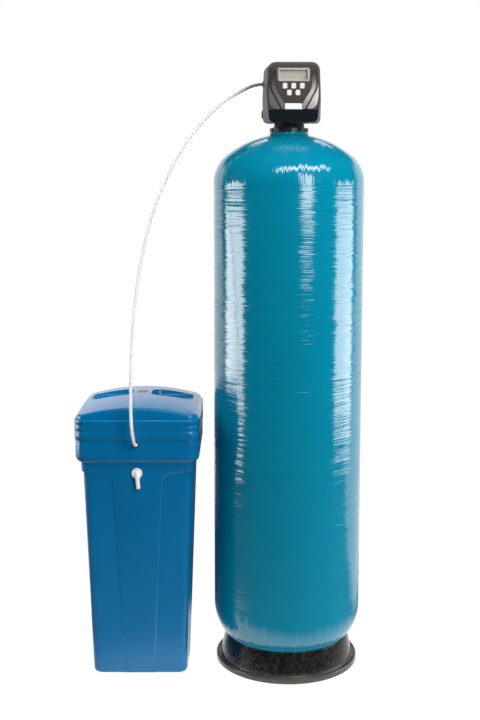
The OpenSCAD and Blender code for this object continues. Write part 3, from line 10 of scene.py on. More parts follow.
import bmesh
import bpy
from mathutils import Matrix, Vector

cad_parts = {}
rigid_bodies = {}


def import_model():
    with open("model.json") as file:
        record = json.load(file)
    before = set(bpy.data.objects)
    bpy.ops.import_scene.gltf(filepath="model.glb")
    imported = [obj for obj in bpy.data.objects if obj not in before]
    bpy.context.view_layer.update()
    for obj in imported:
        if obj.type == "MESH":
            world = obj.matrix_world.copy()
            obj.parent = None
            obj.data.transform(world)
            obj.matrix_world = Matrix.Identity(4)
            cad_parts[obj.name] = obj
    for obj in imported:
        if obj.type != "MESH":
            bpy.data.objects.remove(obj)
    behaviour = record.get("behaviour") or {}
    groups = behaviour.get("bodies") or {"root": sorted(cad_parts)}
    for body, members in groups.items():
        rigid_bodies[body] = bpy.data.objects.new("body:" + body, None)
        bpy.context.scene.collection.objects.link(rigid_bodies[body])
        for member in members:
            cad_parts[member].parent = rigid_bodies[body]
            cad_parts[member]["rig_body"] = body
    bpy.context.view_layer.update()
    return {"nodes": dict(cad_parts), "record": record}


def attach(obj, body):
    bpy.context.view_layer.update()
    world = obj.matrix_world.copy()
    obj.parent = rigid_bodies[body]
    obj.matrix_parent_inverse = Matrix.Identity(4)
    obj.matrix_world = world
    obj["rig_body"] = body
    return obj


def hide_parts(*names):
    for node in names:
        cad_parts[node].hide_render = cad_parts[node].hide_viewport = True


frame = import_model()
nodes = frame["nodes"]
slot_of = {part["node"]: part["material_slot"] for part in frame["record"]["subparts"]}
scene = bpy.context.scene

# Vessel
VESSEL_R = 0.2345
VESSEL_TOP = 1.698
NECK_R = 0.0595
NECK_FILLET = 0.0074
SHELL_WALL = 0.0035
TOP_CROWN_R, TOP_KNUCKLE_R = 0.315, 0.110
FOOT_CROWN_R, FOOT_KNUCKLE_R = 0.284, 0.150
POLE_DROP = 0.002
FOOT_GAP = 0.010
CROWN_STEPS, KNUCKLE_STEPS, ROUND_STEPS = 24, 28, 180
# Ends of the straight wall
TOP_BAND = VESSEL_TOP - POLE_DROP - TOP_CROWN_R + math.sqrt(
    (TOP_CROWN_R - TOP_KNUCKLE_R) ** 2 - (VESSEL_R - TOP_KNUCKLE_R) ** 2)
FOOT_BAND = FOOT_GAP + FOOT_CROWN_R - math.sqrt(
    (FOOT_CROWN_R - FOOT_KNUCKLE_R) ** 2 - (VESSEL_R - FOOT_KNUCKLE_R) ** 2)
# Where the winding changes from hoops to dome lines, beside the ends of the straight wall
FOOT_FADE = 0.03
TOP_FADE_BELOW, TOP_FADE_ABOVE = 0.012, 0.004
# Lines of the winding, per metre along each axis for the hoops, and how far strands tilt the surface
HOOP_LINES = (5, 5, 440)
DOME_LINES, DOME_RUN = 64, 7
HOOP_TILT, DOME_TILT, SWELL_TILT = (0.32, 0.32, 0.80), (0.32, 0.32, 0.50), (0.05, 0.05, 0.04)
# Heights on the skirt between which its paler foot ends
PALE_FOOT_ENDS = (0.016, 0.03)
# Control head: its middle, the top of the dark band at its foot, and the arc of its face about X
HEAD_X = 0.0085
BAND_TOP = 1.763
FACE_R, FACE_Y, FACE_Z = 0.400, -0.1105, 1.8145
# Trim: its thickness, the line round it, the heights over which painted shade darkens it, and how much it
# crowns
TRIM_T = 0.0015
TRIM_LINE = 0.0016
TRIM_SLACK = 0.0002
TRIM_PAINTED_SHADE = (1.79, 1.872)
TRIM_CROWN = 1.6
# Screen: rows of cells in radians per metre, and the heights over which painted light lightens it
CELL_PITCH = 5200
SCREEN_PAINTED_LIGHT = (1.852, 1.877)
# Salt lid: its top, the step round it, the arcs of its crown, and the ends of its straight sides
LID_TOP, LID_STEP_Z = 0.871633, 0.8308
LID_ARCH_R, LID_CROWN_R = 0.650, 3.0
LID_CORNER, LID_FADE = 0.036, 0.026
# Cuts on each side of the crown's middle, and how far its facets lie from the arcs
CROWN_CUTS = 8
CROWN_REACH = 0.0045
# Brine line from the head's refill elbow to the salt tank's rim
LINE_R = 0.00475
# Places along X where its brown end fades, and heights over which painted shade greys it
BROWN_FADES = (-0.20, -0.095)
PAINTED_SHADE_RISES = (0.90, 1.45)
LINE_ROUTE = [
    (-0.074, 0.032, 1.847), (-0.084, 0.032, 1.847), (-0.096, 0.032, 1.846), (-0.121, 0.031, 1.839),
    (-0.165, 0.028, 1.817), (-0.208, 0.021, 1.789), (-0.260, 0.009, 1.740), (-0.306, -0.010, 1.684),
    (-0.352, -0.036, 1.611), (-0.396, -0.069, 1.514), (-0.426, -0.098, 1.426), (-0.454, -0.135, 1.298),
    (-0.471, -0.170, 1.165), (-0.479, -0.203, 1.017), (-0.480, -0.228, 0.900), (-0.478, -0.240, 0.835),
    (-0.475, -0.240, 0.798), (-0.472, -0.230, 0.771), (-0.470, -0.210, 0.757), (-0.468, -0.192, 0.753),
    (-0.468, -0.150, 0.753), (-0.468, -0.098, 0.753),
]

# Meshes: vertices closer than this are one, and faces flatter than this are joined
MERGE = 1e-6
FLAT_ANGLE = math.radians(0.4)
# Edges sharper than this are rounded and shaded as edges, in degrees; the lid's crown has a wider bound
CREASE, LID_CREASE = 30, 62


def add_object(name, data):
    made = bpy.data.objects.new(name, data)
    scene.collection.objects.link(made)
    return made


# Camera at the photograph's viewpoint, looking down by its tilt in degrees
CAMERA_PLACE, CAMERA_TILT = (-0.1519, -3.5945, 1.5744), 7.9095
camera_data = bpy.data.cameras.new("camera")
camera_data.sensor_width = 36
camera_data.lens = 57.1455
camera_data.shift_y = -0.03936
camera = add_object("camera", camera_data)
camera.location = CAMERA_PLACE
camera.rotation_euler = (math.radians(90 - CAMERA_TILT), 0, 0)
scene.camera = camera
scene.view_settings.view_transform = "Standard"


# Materials
class Wire:
    """One socket of a material's nodes. Arithmetic on wires adds Math nodes."""

    def __init__(self, tree, socket=None):
        self.tree = tree
        self.socket = socket

    def node(self, kind, settings=None, sockets=None, output=0):
        """Adds a node with its settings, then the values or wires of its sockets; gives one output."""
        made = self.tree.nodes.new("ShaderNode" + kind)
        for name, value in (settings or {}).items():
            setattr(made, name, value)
        for name, value in (sockets or {}).items():
            self.link(made.inputs[name], value)
        return Wire(self.tree, made.outputs[output])

    def link(self, socket, value):
        if isinstance(value, Wire):
            self.tree.links.new(value.socket, socket)
        else:
            socket.default_value = value

    def math(self, operation, *values):
        return self.node("Math", {"operation": operation}, dict(enumerate(values)))

    def __add__(self, other):
        return self.math("ADD", self, other)

    def __radd__(self, other):
        return self.math("ADD", other, self)

    def __sub__(self, other):
        return self.math("SUBTRACT", self, other)

    def __rsub__(self, other):
        return self.math("SUBTRACT", other, self)

    def __mul__(self, other):
        return self.math("MULTIPLY", self, other)

    def __rmul__(self, other):
        return self.math("MULTIPLY", other, self)

    def __rtruediv__(self, other):
        return self.math("DIVIDE", other, self)

    def vector(self, operation, *values):
        return self.node("VectorMath", {"operation": operation}, dict(enumerate(values)))

    def part(self, axis):
        return self.node("SeparateXYZ", None, {0: self}, output=axis)

    def step(self, low, high):
        """0 below low, 1 above high and smooth between them."""
        return self.node("MapRange", {"interpolation_type": "SMOOTHSTEP"},
                         {"Value": self, "From Min": low, "From Max": high})

    def mix(self, below, above):
        """A colour between two, with this wire as the factor."""
        return self.node("Mix", {"data_type": "RGBA"}, {0: self, 6: below, 7: above}, output=2)


class Finish:
    """A material with one shader: place gives the piece's own coordinates."""

    def __init__(self, name, **constants):
        self.material = bpy.data.materials.new(name)
        self.material.use_nodes = True
        self.tree = self.material.node_tree
        self.wire = Wire(self.tree)
        self.shader = next(n for n in self.tree.nodes if n.type == "BSDF_PRINCIPLED")
        self.place = self.wire.node("TexCoord", output=3)
        self.set(**constants)

    def set(self, **values):
        """Sets sockets of the shader to values or wires; an underscore stands for a space."""
        for name, value in values.items():
            self.wire.link(self.shader.inputs[name.replace("_", " ")], value)

    def noise(self, scale, detail=2.0, roughness=0.5, shift=0.0, colour=False):
        """Noise on the piece's coordinates; scale is one number or one for each axis, per metre."""
        along = (scale,) * 3 if isinstance(scale, (int, float)) else scale
        spot = self.wire.node("Mapping", None, {"Vector": self.place, "Location": (shift,) * 3,
                                                "Scale": along})
        return self.wire.node("TexNoise", None, {"Vector": spot, "Scale": 1.0, "Detail": detail,
                                                 "Roughness": roughness}, output=1 if colour else 0)

    def bump(self, height, depth, strength=1.0):
        return self.wire.node("Bump", None, {"Height": height, "Distance": depth, "Strength": strength})


def rgb(red, green, blue):
    return (red, green, blue, 1.0)


def moulding(name, colour, gloss, grain=900, grain_depth=0.00004, tint=0.12, spread=0.08, **constants):
    """Moulded plastic: colour drifts a little, the gloss is uneven and the skin has a fine grain."""
    made = Finish(name, **constants)
    drift = made.noise(9, detail=3)
    dark = [c * (1 - tint) for c in colour[:3]] + [1]
    light = [min(c * (1 + tint), 1) for c in colour[:3]] + [1]
    skin = made.noise(grain, detail=1)
    made.set(Base_Color=drift.mix(dark, light),
             Roughness=gloss - spread / 2 + spread * made.noise(35, detail=3, shift=4),
             Normal=made.bump(skin, grain_depth))
    return made.material


def wound_fibre():
    """Lacquered fibre: hoops round the cylinder, and lines that skim the neck on the domes."""
    made = Finish("wound_fibre", IOR=1.8)
    wire, place = made.wire, made.place
    x, y, z = place.part(0), place.part(1), place.part(2)
    radius = wire.math("SQRT", x * x + y * y)
    above_foot = z.step(FOOT_BAND, FOOT_BAND + FOOT_FADE)
    dome = 1 - above_foot * (1 - z.step(TOP_BAND - TOP_FADE_BELOW, TOP_BAND + TOP_FADE_ABOVE))
    # Lines of the dome's fibre are tangent to the neck opening
    lean = wire.math("ARCCOSINE", wire.math("MINIMUM", NECK_R / radius, 1.0))
    turn = wire.math("ARCTAN2", y, x) + lean
    skimming = wire.node("CombineXYZ", None, {0: wire.math("COSINE", turn) * DOME_LINES,
                                              1: wire.math("SINE", turn) * DOME_LINES, 2: radius * DOME_RUN})
    lines = wire.node("TexNoise", None, {"Vector": skimming, "Scale": 1.0, "Detail": 2.0}, output=1)
    hoops = made.noise(HOOP_LINES, detail=3, roughness=0.6, colour=True)
    strands = wire.node("Mix", {"data_type": "VECTOR"}, {0: dome, 4: hoops, 5: lines}, output=1)
    waves = made.noise((3, 3, 26), detail=1, shift=7, colour=True)
    middle = (0.5, 0.5, 0.5)
    spread = wire.node("Mix", {"data_type": "VECTOR"}, {0: dome, 4: HOOP_TILT, 5: DOME_TILT}, output=1)
    tilt = wire.vector("MULTIPLY", wire.vector("SUBTRACT", strands, middle), spread)
    swell = wire.vector("MULTIPLY", wire.vector("SUBTRACT", waves, middle), SWELL_TILT)
    facing = wire.node("NewGeometry", output=1)
    tilted = wire.vector("NORMALIZE", wire.vector("ADD", facing, wire.vector("ADD", tilt, swell)))
    furrow = strands.part(1).step(0.52, 0.62)
    tone = made.noise((4, 4, 9), detail=2, shift=11)
    base = strands.part(0).step(0.35, 0.65).mix(rgb(0.0002, 0.195, 0.310), rgb(0.0003, 0.215, 0.335))
    made.set(Base_Color=(tone * 0.35).mix(base, rgb(0.0003, 0.24, 0.37)),
             Roughness=0.08 + 0.07 * furrow, Normal=tilted)
    return made.material


def skirt_gloss():
    """Black moulded skirt with a mottled, glossy skin whose lighter blotches are partly painted reflection,
    paler at its flange.
    """
    made = Finish("skirt_gloss", IOR=1.55)
    mottle_and_painted_sheen = made.noise((80, 80, 60), detail=4, roughness=0.6).step(0.34, 0.72)
    ripple = made.noise(110, detail=3, shift=2)
    paler_foot = (1 - made.place.part(2).step(*PALE_FOOT_ENDS)) * ripple
    # Mottled colour: partly random tone of the moulding, partly painted reflection of the floor
    mottled_wall = mottle_and_painted_sheen.mix(rgb(0.005, 0.005, 0.005), rgb(0.026, 0.023, 0.020))
    made.set(Base_Color=paler_foot.mix(mottled_wall, rgb(0.105, 0.096, 0.085)), Roughness=0.06 + 0.10 * mottle_and_painted_sheen,
             Normal=made.bump(ripple, 0.003, 0.5))
    return made.material


def trim_lacquer():
    """Grey metallic lacquer with fine flakes, crowned from side to side, with painted shade darkening it
    towards its top.
    """
    made = Finish("trim_lacquer", Metallic=0.8, IOR=1.5)
    wire = made.wire
    lower = made.noise(2600, detail=0).mix(rgb(0.32, 0.30, 0.28), rgb(0.49, 0.462, 0.434))
    bulge = wire.node("CombineXYZ", None, {0: (made.place.part(0) - HEAD_X) * TRIM_CROWN})
    facing = wire.vector("NORMALIZE", wire.vector("ADD", wire.node("NewGeometry", output=1), bulge))
    # Painted shade: the colour darkens towards the trim's top, standing in for the light it reflects less
    # there
    made.set(Base_Color=made.place.part(2).step(*TRIM_PAINTED_SHADE).mix(lower, rgb(0.035, 0.031, 0.027)),
             Roughness=0.3 + 0.1 * made.noise(60, shift=3), Normal=facing)
    return made.material


def lcd_glass():
    """Bare screen: grey-green with the fine rows of its cells, lighter towards its top as painted light."""
    made = Finish("lcd_glass", IOR=1.5)
    place = made.place
    wire = made.wire
    rows = wire.math("SINE", place.part(2) * CELL_PITCH) * wire.math("SINE", place.part(0) * CELL_PITCH)
    # Painted light: the screen's colour lightens towards its top
    screen_painted_light = place.part(2).step(*SCREEN_PAINTED_LIGHT)
    base = screen_painted_light.mix(rgb(0.36, 0.35, 0.25), rgb(0.39, 0.37, 0.28))
    made.set(Base_Color=(rows.step(0.2, 0.9) * 0.12).mix(base, rgb(0.30, 0.29, 0.21)),
             Roughness=0.32 + 0.05 * made.noise(300))
    return made.material


def clear_cover():
    """Clear window with a faint haze."""
    made = Finish("clear_cover", IOR=1.49, Alpha=0.1)
    haze = made.noise(200, detail=3)
    made.set(Base_Color=haze.mix(rgb(0.75, 0.77, 0.68), rgb(0.80, 0.80, 0.73)),
             Roughness=0.04 + 0.05 * haze)
    return made.material


def line_plastic():
    """Milky tubing, greyer with height as painted shade, and brown where it comes out of the head."""
    made = Finish("line_plastic", IOR=1.12)
    near_head = made.place.part(0).step(*BROWN_FADES)
    # Painted shade: most of the greying follows height, the rest is random tone
    height = made.place.part(2).step(*PAINTED_SHADE_RISES)
    tone_and_painted_shade = made.noise(60, detail=3) * 0.2 + height * 0.8
    milk = tone_and_painted_shade.mix(rgb(0.86, 0.85, 0.82), rgb(0.71, 0.70, 0.68))
    made.set(Base_Color=near_head.mix(milk, rgb(0.40, 0.27, 0.19)),
             Roughness=0.45 + 0.1 * made.noise(400, shift=2))
    return made.material


def loose_grains(name, dark, light, size):
    """A bed of grains of one size, each with its own shade."""
    made = Finish(name)
    cells = made.wire.node("TexVoronoi", None, {"Vector": made.place, "Scale": 1 / size})
    shade = made.wire.node("TexVoronoi", None, {"Vector": made.place, "Scale": 1 / size}, output=1).part(0)
    made.set(Base_Color=shade.mix(dark, light), Roughness=0.5 + 0.2 * shade,
             Normal=made.bump(1 - cells, size / 2))
    return made.material


def turned_metal(name, colour, gloss):
    """Metal with the fine lines of a lathe along Y."""
    made = Finish(name, Metallic=1.0)
    lines = made.noise((60, 1500, 60), detail=2)
    worn = [c * 0.85 for c in colour[:3]] + [1]
    made.set(Base_Color=lines.mix(worn, colour), Roughness=gloss + 0.15 * lines,
             Normal=made.bump(lines, 0.00003))
    return made.material


def circuit_board():
    """Green lacquer over rows of copper tracks."""
    made = Finish("circuit_board", IOR=1.5)
    tracks = made.wire.node("TexBrick", {"offset": 0.35, "squash": 1.6}, {
        "Vector": made.wire.node("Mapping", None, {"Vector": made.place, "Rotation": (math.pi / 2, 0, 0),
                                                   "Scale": (150, 150, 150)}),
        "Color1": rgb(0.015, 0.14, 0.06), "Color2": rgb(0.02, 0.17, 0.075), "Mortar": rgb(0.05, 0.28, 0.12),
        "Scale": 1.0, "Mortar Size": 0.05})
    made.set(Base_Color=tracks, Roughness=0.3 + 0.1 * made.noise(200))
    return made.material


BLUE = rgb(0.0005, 0.150, 0.355)
WHITE = rgb(0.92, 0.92, 0.91)
finishes = {
    "shell_teal": wound_fibre(),
    "skirt_black": skirt_gloss(),
    "liner_white": moulding("liner_white", rgb(0.80, 0.80, 0.77), 0.5),
    "valve_black": moulding("valve_black", rgb(0.018, 0.018, 0.019), 0.36, IOR=1.5),
    "seal_rubber": moulding("seal_rubber", rgb(0.014, 0.014, 0.014), 0.55, grain=1500),
    "gravel_grey": loose_grains("gravel_grey", rgb(0.30, 0.27, 0.24), rgb(0.62, 0.58, 0.52), 0.005),
    "resin_amber": loose_grains("resin_amber", rgb(0.36, 0.17, 0.03), rgb(0.66, 0.40, 0.13), 0.0012),
    "acetal_white": moulding("acetal_white", rgb(0.84, 0.84, 0.80), 0.38),
    "motor_steel": turned_metal("motor_steel", rgb(0.62, 0.62, 0.63), 0.25),
    "pinion_brass": turned_metal("pinion_brass", rgb(0.78, 0.60, 0.28), 0.2),
    "board_green": circuit_board(),
    "lcd_grey": lcd_glass(),
    "cover_black": moulding("cover_black", rgb(0.008, 0.012, 0.015), 0.13, grain=500, grain_depth=0.00003,
                            spread=0.05, IOR=1.52),
    "trim_grey": trim_lacquer(),
    "keypad_dark": moulding("keypad_dark", rgb(0.042, 0.037, 0.033), 0.34, grain=2400),
    "bezel_silver": moulding("bezel_silver", rgb(0.47, 0.45, 0.42), 0.25, grain=2400, Metallic=0.35),
    "window_clear": clear_cover(),
    "badge_white": moulding("badge_white", rgb(0.84, 0.84, 0.83), 0.2, grain=1500, tint=0.03),
    "key_white": moulding("key_white", rgb(0.70, 0.69, 0.665), 0.42, grain=2400, tint=0.04),
    "fitting_white": moulding("fitting_white", WHITE, 0.4, tint=0.04),
    "brine_blue": moulding("brine_blue", BLUE, 0.21, grain=420, grain_depth=0.000015, tint=0.05,
                           spread=0.05, IOR=1.5),
    "cap_grey": moulding("cap_grey", rgb(0.20, 0.17, 0.145), 0.45),
    "tube_white": line_plastic(),
}
# A lighter grey copy of the cover's black: painted sheen for the light the cover's sides and top reflect
SIDE_PAINTED_SHEEN = moulding("side_painted_sheen", rgb(0.055, 0.052, 0.050), 0.5, grain=1500, IOR=1.35)
for node, part in nodes.items():
    part.data.materials.clear()
    part.data.materials.append(finishes[slot_of[node]])


# Brine line
line_curve = bpy.data.curves.new("brine_line", "CURVE")
line_curve.dimensions = "3D"
line_curve.bevel_depth = LINE_R
line_curve.bevel_resolution = 5
line_curve.resolution_u = 10
line_curve.use_fill_caps = True
spline = line_curve.splines.new("BEZIER")
spline.bezier_points.add(len(LINE_ROUTE) - 1)
for i, point in enumerate(spline.bezier_points):
    before = Vector(LINE_ROUTE[max(i - 1, 0)])
    after = Vector(LINE_ROUTE[min(i + 1, len(LINE_ROUTE) - 1)])
    # A sixth of the way between a point's neighbours makes the curve smooth
    pull = (after - before) / 6
    point.handle_left_type = point.handle_right_type = "FREE"
    point.co = LINE_ROUTE[i]
    point.handle_left = point.co - pull
    point.handle_right = point.co + pull
brine_line = add_object("brine_line", line_curve)
line_curve.materials.append(finishes["tube_white"])
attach(brine_line, "root")
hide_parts("brine_tube")


# Pieces
def piece(name, bm, stands_for, crease=CREASE):
    """Makes a bmesh an object that stands for CAD nodes and takes the first one's body and finish."""
    limit = math.radians(crease)
    for face in bm.faces:
        face.smooth = True
    for edge in bm.edges:
        edge.smooth = len(edge.link_faces) == 2 and edge.calc_face_angle() < limit
    mesh = bpy.data.meshes.new(name)
    bm.to_mesh(mesh)
    bm.free()
    made = add_object(name, mesh)
    node = stands_for[0]
    mesh.materials.append(finishes[slot_of[node]])
    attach(made, nodes[node]["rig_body"])
    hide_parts(*stands_for)
    return made


def solid_of(node):
    """A CAD node's solid as a bmesh, its facets joined."""
    bm = bmesh.new()
    bm.from_mesh(nodes[node].data)
    bmesh.ops.remove_doubles(bm, verts=bm.verts, dist=MERGE)
    bmesh.ops.dissolve_limit(bm, angle_limit=FLAT_ANGLE, verts=bm.verts, edges=bm.edges)
    return bm


def soften(bm, width):
    """Rounds the sharp edges."""
    limit = math.radians(CREASE)
    sharp = [e for e in bm.edges if len(e.link_faces) == 2 and e.calc_face_angle() > limit]
    bmesh.ops.bevel(bm, geom=sharp, offset=width, offset_type="OFFSET", segments=2, profile=0.5,
                    affect="EDGES", clamp_overlap=True, material=-1)
    return bm


def cut(bm, place, normal):
    """Cuts every face along a plane and keeps both sides."""
    bmesh.ops.bisect_plane(bm, geom=bm.verts[:] + bm.edges[:] + bm.faces[:], dist=MERGE, plane_co=place,
                           plane_no=normal)


def level_shading(made):
    """Lets wide faces stay flat beside their rounded edges."""
    weighted = made.modifiers.new("level_shading", "WEIGHTED_NORMAL")
    weighted.keep_sharp = True
    return made


def dressed(name, node, width):
    """A CAD node's solid with its edges rounded by a width, or left sharp where that is 0."""
    bm = solid_of(node)
    if width:
        soften(bm, width)
    level_shading(piece(name, bm, [node]))


def head_cover():
    """Cover with its black moulding across the foot of its front, and a lighter grey on its sides and top
    that is painted sheen.
    """
    bm = soften(solid_of("front_cover"), 0.0006)
    cut(bm, (0, 0, BAND_TOP), (0, 0, 1))
    for face in bm.faces:
        low = face.calc_center_median().z < BAND_TOP
        face.material_index = 0 if low and face.normal.y < -0.5 else 1
    made = level_shading(piece("head_cover", bm, ["front_cover"]))
    # Painted sheen on every face but the dark foot of the front
    made.data.materials.append(SIDE_PAINTED_SHEEN)


def face_trim():
    """Trim with a dark line round it and dark grooves."""
    bm = solid_of("front_trim")
    top = FACE_R + TRIM_T - TRIM_SLACK
    proud = [f for f in bm.faces if f.normal.y < -0.6 and all(
        math.hypot(v.co.y - FACE_Y - FACE_R, v.co.z - FACE_Z) > top for v in f.verts)]
    for face in bm.faces:
        face.material_index = 1
    lines = bmesh.ops.inset_region(bm, faces=proud, thickness=TRIM_LINE, use_boundary=True,
                                   use_even_offset=True)["faces"]
    for face in set(proud) - set(lines):
        face.material_index = 0
    made = level_shading(piece("face_trim", bm, ["front_trim"]))
    made.data.materials.append(finishes["valve_black"])


def salt_lid():
    """Lid whose crown follows its two arcs in finer steps than the solid's."""
    bm = solid_of("brine_lid")
    corners = [Vector(corner) for corner in nodes["brine_lid"].bound_box]
    middle = sum(corners, Vector()) / len(corners)
    straight = max(corner.x for corner in corners) - middle.x - LID_CORNER
    bend = straight - LID_FADE
    for i in range(-CROWN_CUTS, CROWN_CUTS + 1):
        cut(bm, (middle.x + i * bend / CROWN_CUTS, 0, 0), (1, 0, 0))

    def sag(radius, run):
        return radius - math.sqrt(radius * radius - run * run)

    crowned = {v for f in bm.faces if f.normal.z > 0.9 for v in f.verts}
    for vert in bm.verts:
        across, along = abs(vert.co.x - middle.x), abs(vert.co.y - middle.y)
        arch = sag(LID_ARCH_R, across)
        level = LID_TOP - arch - sag(LID_CROWN_R, along)
        if vert in crowned and abs(vert.co.z - level) < CROWN_REACH:
            lift = level - vert.co.z
        elif across < bend and along > straight and vert.co.z > LID_STEP_Z:
            lift = sag(LID_ARCH_R, bend) * across / bend - arch
        else:
            continue
        bmesh.ops.translate(bm, verts=[vert], vec=(0, 0, lift))
    piece("salt_lid", bm, ["brine_lid"], crease=LID_CREASE)


def arc_on(bm, start, centre, angle, steps):
    """Draws an arc on from a vertex of a profile and gives its last vertex."""
    drawn = bmesh.ops.spin(bm, geom=[start], cent=centre, axis=(0, -1, 0), angle=angle, steps=steps)
    return next(g for g in drawn["geom_last"] if isinstance(g, bmesh.types.BMVert))


def line_on(bm, start, step):
    """Draws a straight line on from a vertex of a profile and gives its last vertex."""
    end = bmesh.ops.extrude_vert_indiv(bm, verts=[start])["verts"][0]
    bmesh.ops.translate(bm, verts=[end], vec=step)
    return end


def spin_round(bm):
    """Spins a profile round the vessel's axis into a closed skin."""
    bmesh.ops.spin(bm, geom=bm.verts[:] + bm.edges[:], cent=(0, 0, 0), axis=(0, 0, 1), angle=math.tau,
                   steps=ROUND_STEPS, use_merge=True)
    bmesh.ops.remove_doubles(bm, verts=bm.verts, dist=MERGE)
    bmesh.ops.recalc_face_normals(bm, faces=bm.faces)


def vessel_shell():
    """Vessel turned from one profile: two domes, the straight wall and the neck, with a wall inwards."""
    bm = bmesh.new()
    foot_turn = math.acos((VESSEL_R - FOOT_KNUCKLE_R) / (FOOT_CROWN_R - FOOT_KNUCKLE_R))
    top_turn = math.acos((VESSEL_R - TOP_KNUCKLE_R) / (TOP_CROWN_R - TOP_KNUCKLE_R))
    top_crown_z = VESSEL_TOP - POLE_DROP - TOP_CROWN_R
    tip = bm.verts.new((0, 0, FOOT_GAP))
    tip = arc_on(bm, tip, (0, 0, FOOT_GAP + FOOT_CROWN_R), math.pi / 2 - foot_turn, CROWN_STEPS)
    tip = arc_on(bm, tip, (VESSEL_R - FOOT_KNUCKLE_R, 0, FOOT_BAND), foot_turn, KNUCKLE_STEPS)
    tip = line_on(bm, tip, (0, 0, TOP_BAND - FOOT_BAND))
    tip = arc_on(bm, tip, (VESSEL_R - TOP_KNUCKLE_R, 0, TOP_BAND), top_turn, KNUCKLE_STEPS)
    tip = arc_on(bm, tip, (0, 0, top_crown_z), math.acos(NECK_R / TOP_CROWN_R) - top_turn, CROWN_STEPS)
    root = tip.co.z
    line_on(bm, tip, (0, 0, VESSEL_TOP - root))
    spin_round(bm)
    neck_root = [e for e in bm.edges if all(abs(v.co.z - root) < 1e-5 for v in e.verts)]
    bmesh.ops.bevel(bm, geom=neck_root, offset=NECK_FILLET, offset_type="OFFSET", segments=5, profile=0.5,
                    affect="EDGES", material=-1)
    made = piece("vessel_shell", bm, ["tank_shell"])
    wall = made.modifiers.new("wall", "SOLIDIFY")
    wall.thickness = SHELL_WALL
    wall.offset = -1


vessel_shell()
head_cover()
face_trim()
salt_lid()
# Other pieces that show: name, CAD node and the width of its rounded edges
for name, node, width in [
    ("skirt", "tank_base", 0.0012), ("collar", "neck_collar", 0.0006),
    ("keypad", "keypad_panel", 0.0002), ("bezel", "display_bezel", 0.0008),
    ("badge", "badge_plate", 0.0003), ("salt_tank", "brine_tank", 0.0015),
    ("lid_button", "lid_cap", 0.0006), ("overflow_spout", "overflow_elbow", 0.0005),
    ("hose_grommet", "tube_grommet", 0.0), ("rear_plate", "back_plate", 0.0005),
    ("valve_casing", "valve_body", 0.0005), ("union_nuts", "port_nuts", 0.0006),
    ("inlet_pipe", "inlet_fitting", 0.0005), ("outlet_pipe", "outlet_fitting", 0.0005),
    ("drain_barb", "drain_elbow", 0.0003), ("refill_bend", "refill_elbow", 0.0004),
    ("line_nut", "tube_nut", 0.0004), ("well_pipe", "brine_well", 0.0005), ("well_lid", "well_cap", 0.0006),
] + [(f"key_cap_{i}", f"button_{i}", 0.0006) for i in range(1, 6)]:
    dressed(name, node, width)


# Studio
def softbox(name, place, aim, width, height, radiance):
    """A rectangular light that the camera doesn't see."""
    lamp = bpy.data.lights.new(name, "AREA")
    lamp.shape = "RECTANGLE"
    lamp.size, lamp.size_y = width, height
    lamp.energy = radiance * math.pi * width * height
    made = add_object(name, lamp)
    made.location = place
    made.rotation_euler = (Vector(aim) - Vector(place)).to_track_quat("-Z", "Y").to_euler()
    made.visible_camera = False
    return made


softbox("left_box", (-2.3, -0.05, 0.95), (0, -0.05, 0.95), 1.5, 1.3, 5.6).visible_diffuse = False
softbox("right_box", (2.3, -0.05, 0.95), (0, -0.05, 0.95), 1.5, 1.3, 4.6)
softbox("front_strip", (1.15, -2.45, 2.0), (0, 0, 1.4), 0.8, 1.4, 6.0)
softbox("top_bar", (0.7, -1.7, 3.35), (0, 0, 1.4), 3.6, 0.45, 8.0)
softbox("dome_left", (-0.40, 2.0, 3.0), (0, 0, 1.67), 0.45, 0.28, 2.4).visible_diffuse = False
softbox("dome_right", (0.58, 2.0, 2.95), (0, 0, 1.67), 0.60, 0.28, 2.4).visible_diffuse = False
softbox("key", (1.7, -2.9, 2.7), (-0.2, 0, 0.9), 1.9, 1.6, 7.3).visible_glossy = False
softbox("left_fill", (-1.5, -0.1, 1.6), (-0.3, 0, 1.0), 0.9, 0.9, 4.5).visible_glossy = False
softbox("overhead", (-0.2, -0.3, 3.6), (-0.2, 0, 0), 2.0, 1.4, 2.5).visible_glossy = False

# Output of the light path node that is 1 for a mirrored ray; its first one is 1 where the camera looks
IN_GLOSS = 3
DARK, PALE, WHITE_PAPER = rgb(0.012, 0.012, 0.012), rgb(1.15, 1.15, 1.15), rgb(1, 1, 1)
# Half the floor's width, the middle of the object on it, and how much less its width counts than its depth
FLOOR_HALF, FLOOR_MIDDLE, FLOOR_WIDEN = 9, -0.15, 0.4
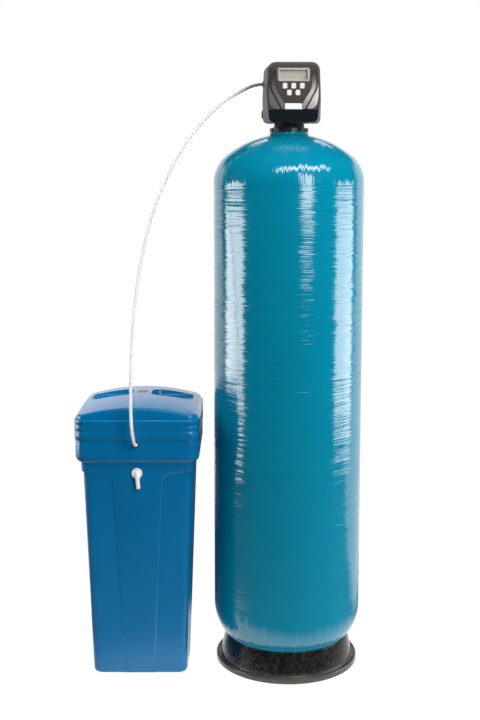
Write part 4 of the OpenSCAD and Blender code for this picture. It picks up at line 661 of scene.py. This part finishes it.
# Distances on the floor over which its glow ends or begins
NEAR_IN_GLOSS, NEAR_IN_LIGHT, FAR_IN_GLOSS = (0.26, 0.52), (0.3, 1.6), (4.2, 5.0)
BESIDE, BEHIND = (0.5, 0.8), (0.1, 0.4)
# Parts of a direction over which the wall begins behind and ends above
WALL_BEHIND, WALL_TOP = (0.50, 0.60), (0.26, 0.40)

floor_bm = bmesh.new()
bmesh.ops.create_grid(floor_bm, x_segments=1, y_segments=1, size=FLOOR_HALF)
floor_mesh = bpy.data.meshes.new("studio_floor")
floor_bm.to_mesh(floor_mesh)
floor_bm.free()
studio_floor = add_object("studio_floor", floor_mesh)
# The paper is white to the camera. Gloss shows it close to the object and far behind its sides
paper = Finish("paper_floor", Emission_Strength=1.0, Roughness=0.8)
across, ahead = paper.place.part(0) - FLOOR_MIDDLE, paper.place.part(1)
reach = paper.wire.math("SQRT", across * across * FLOOR_WIDEN + ahead * ahead)
sides = paper.wire.math("ABSOLUTE", across).step(*BESIDE) * ahead.step(*BEHIND)
distant = paper.wire.math("MAXIMUM", sides, ahead.step(*FAR_IN_GLOSS))
shown = paper.wire.math("MAXIMUM", 1 - reach.step(*NEAR_IN_GLOSS), distant)
glow = paper.wire.node("LightPath", output=IN_GLOSS).mix(
    (1 - reach.step(*NEAR_IN_LIGHT)).mix(DARK, PALE), shown.mix(DARK, WHITE_PAPER))
paper.set(Base_Color=paper.noise(3).mix(rgb(0.015, 0.015, 0.015), rgb(0.02, 0.02, 0.02)),
          Emission_Color=paper.wire.node("LightPath").mix(glow, WHITE_PAPER))
floor_mesh.materials.append(paper.material)

# The room is dark but for a pale wall behind, which the camera sees as white
world = bpy.data.worlds.new("studio")
scene.world = world
world.use_nodes = True
sky = Wire(world.node_tree)
backdrop = next(n for n in world.node_tree.nodes if n.type == "BACKGROUND")
toward = sky.node("TexCoord", output=0)
depth, height = toward.part(1), toward.part(2)
wall = depth.step(*WALL_BEHIND) * (1 - height.step(*WALL_TOP))
sky.link(backdrop.inputs["Color"], sky.node("LightPath").mix(wall.mix(DARK, PALE), WHITE_PAPER))
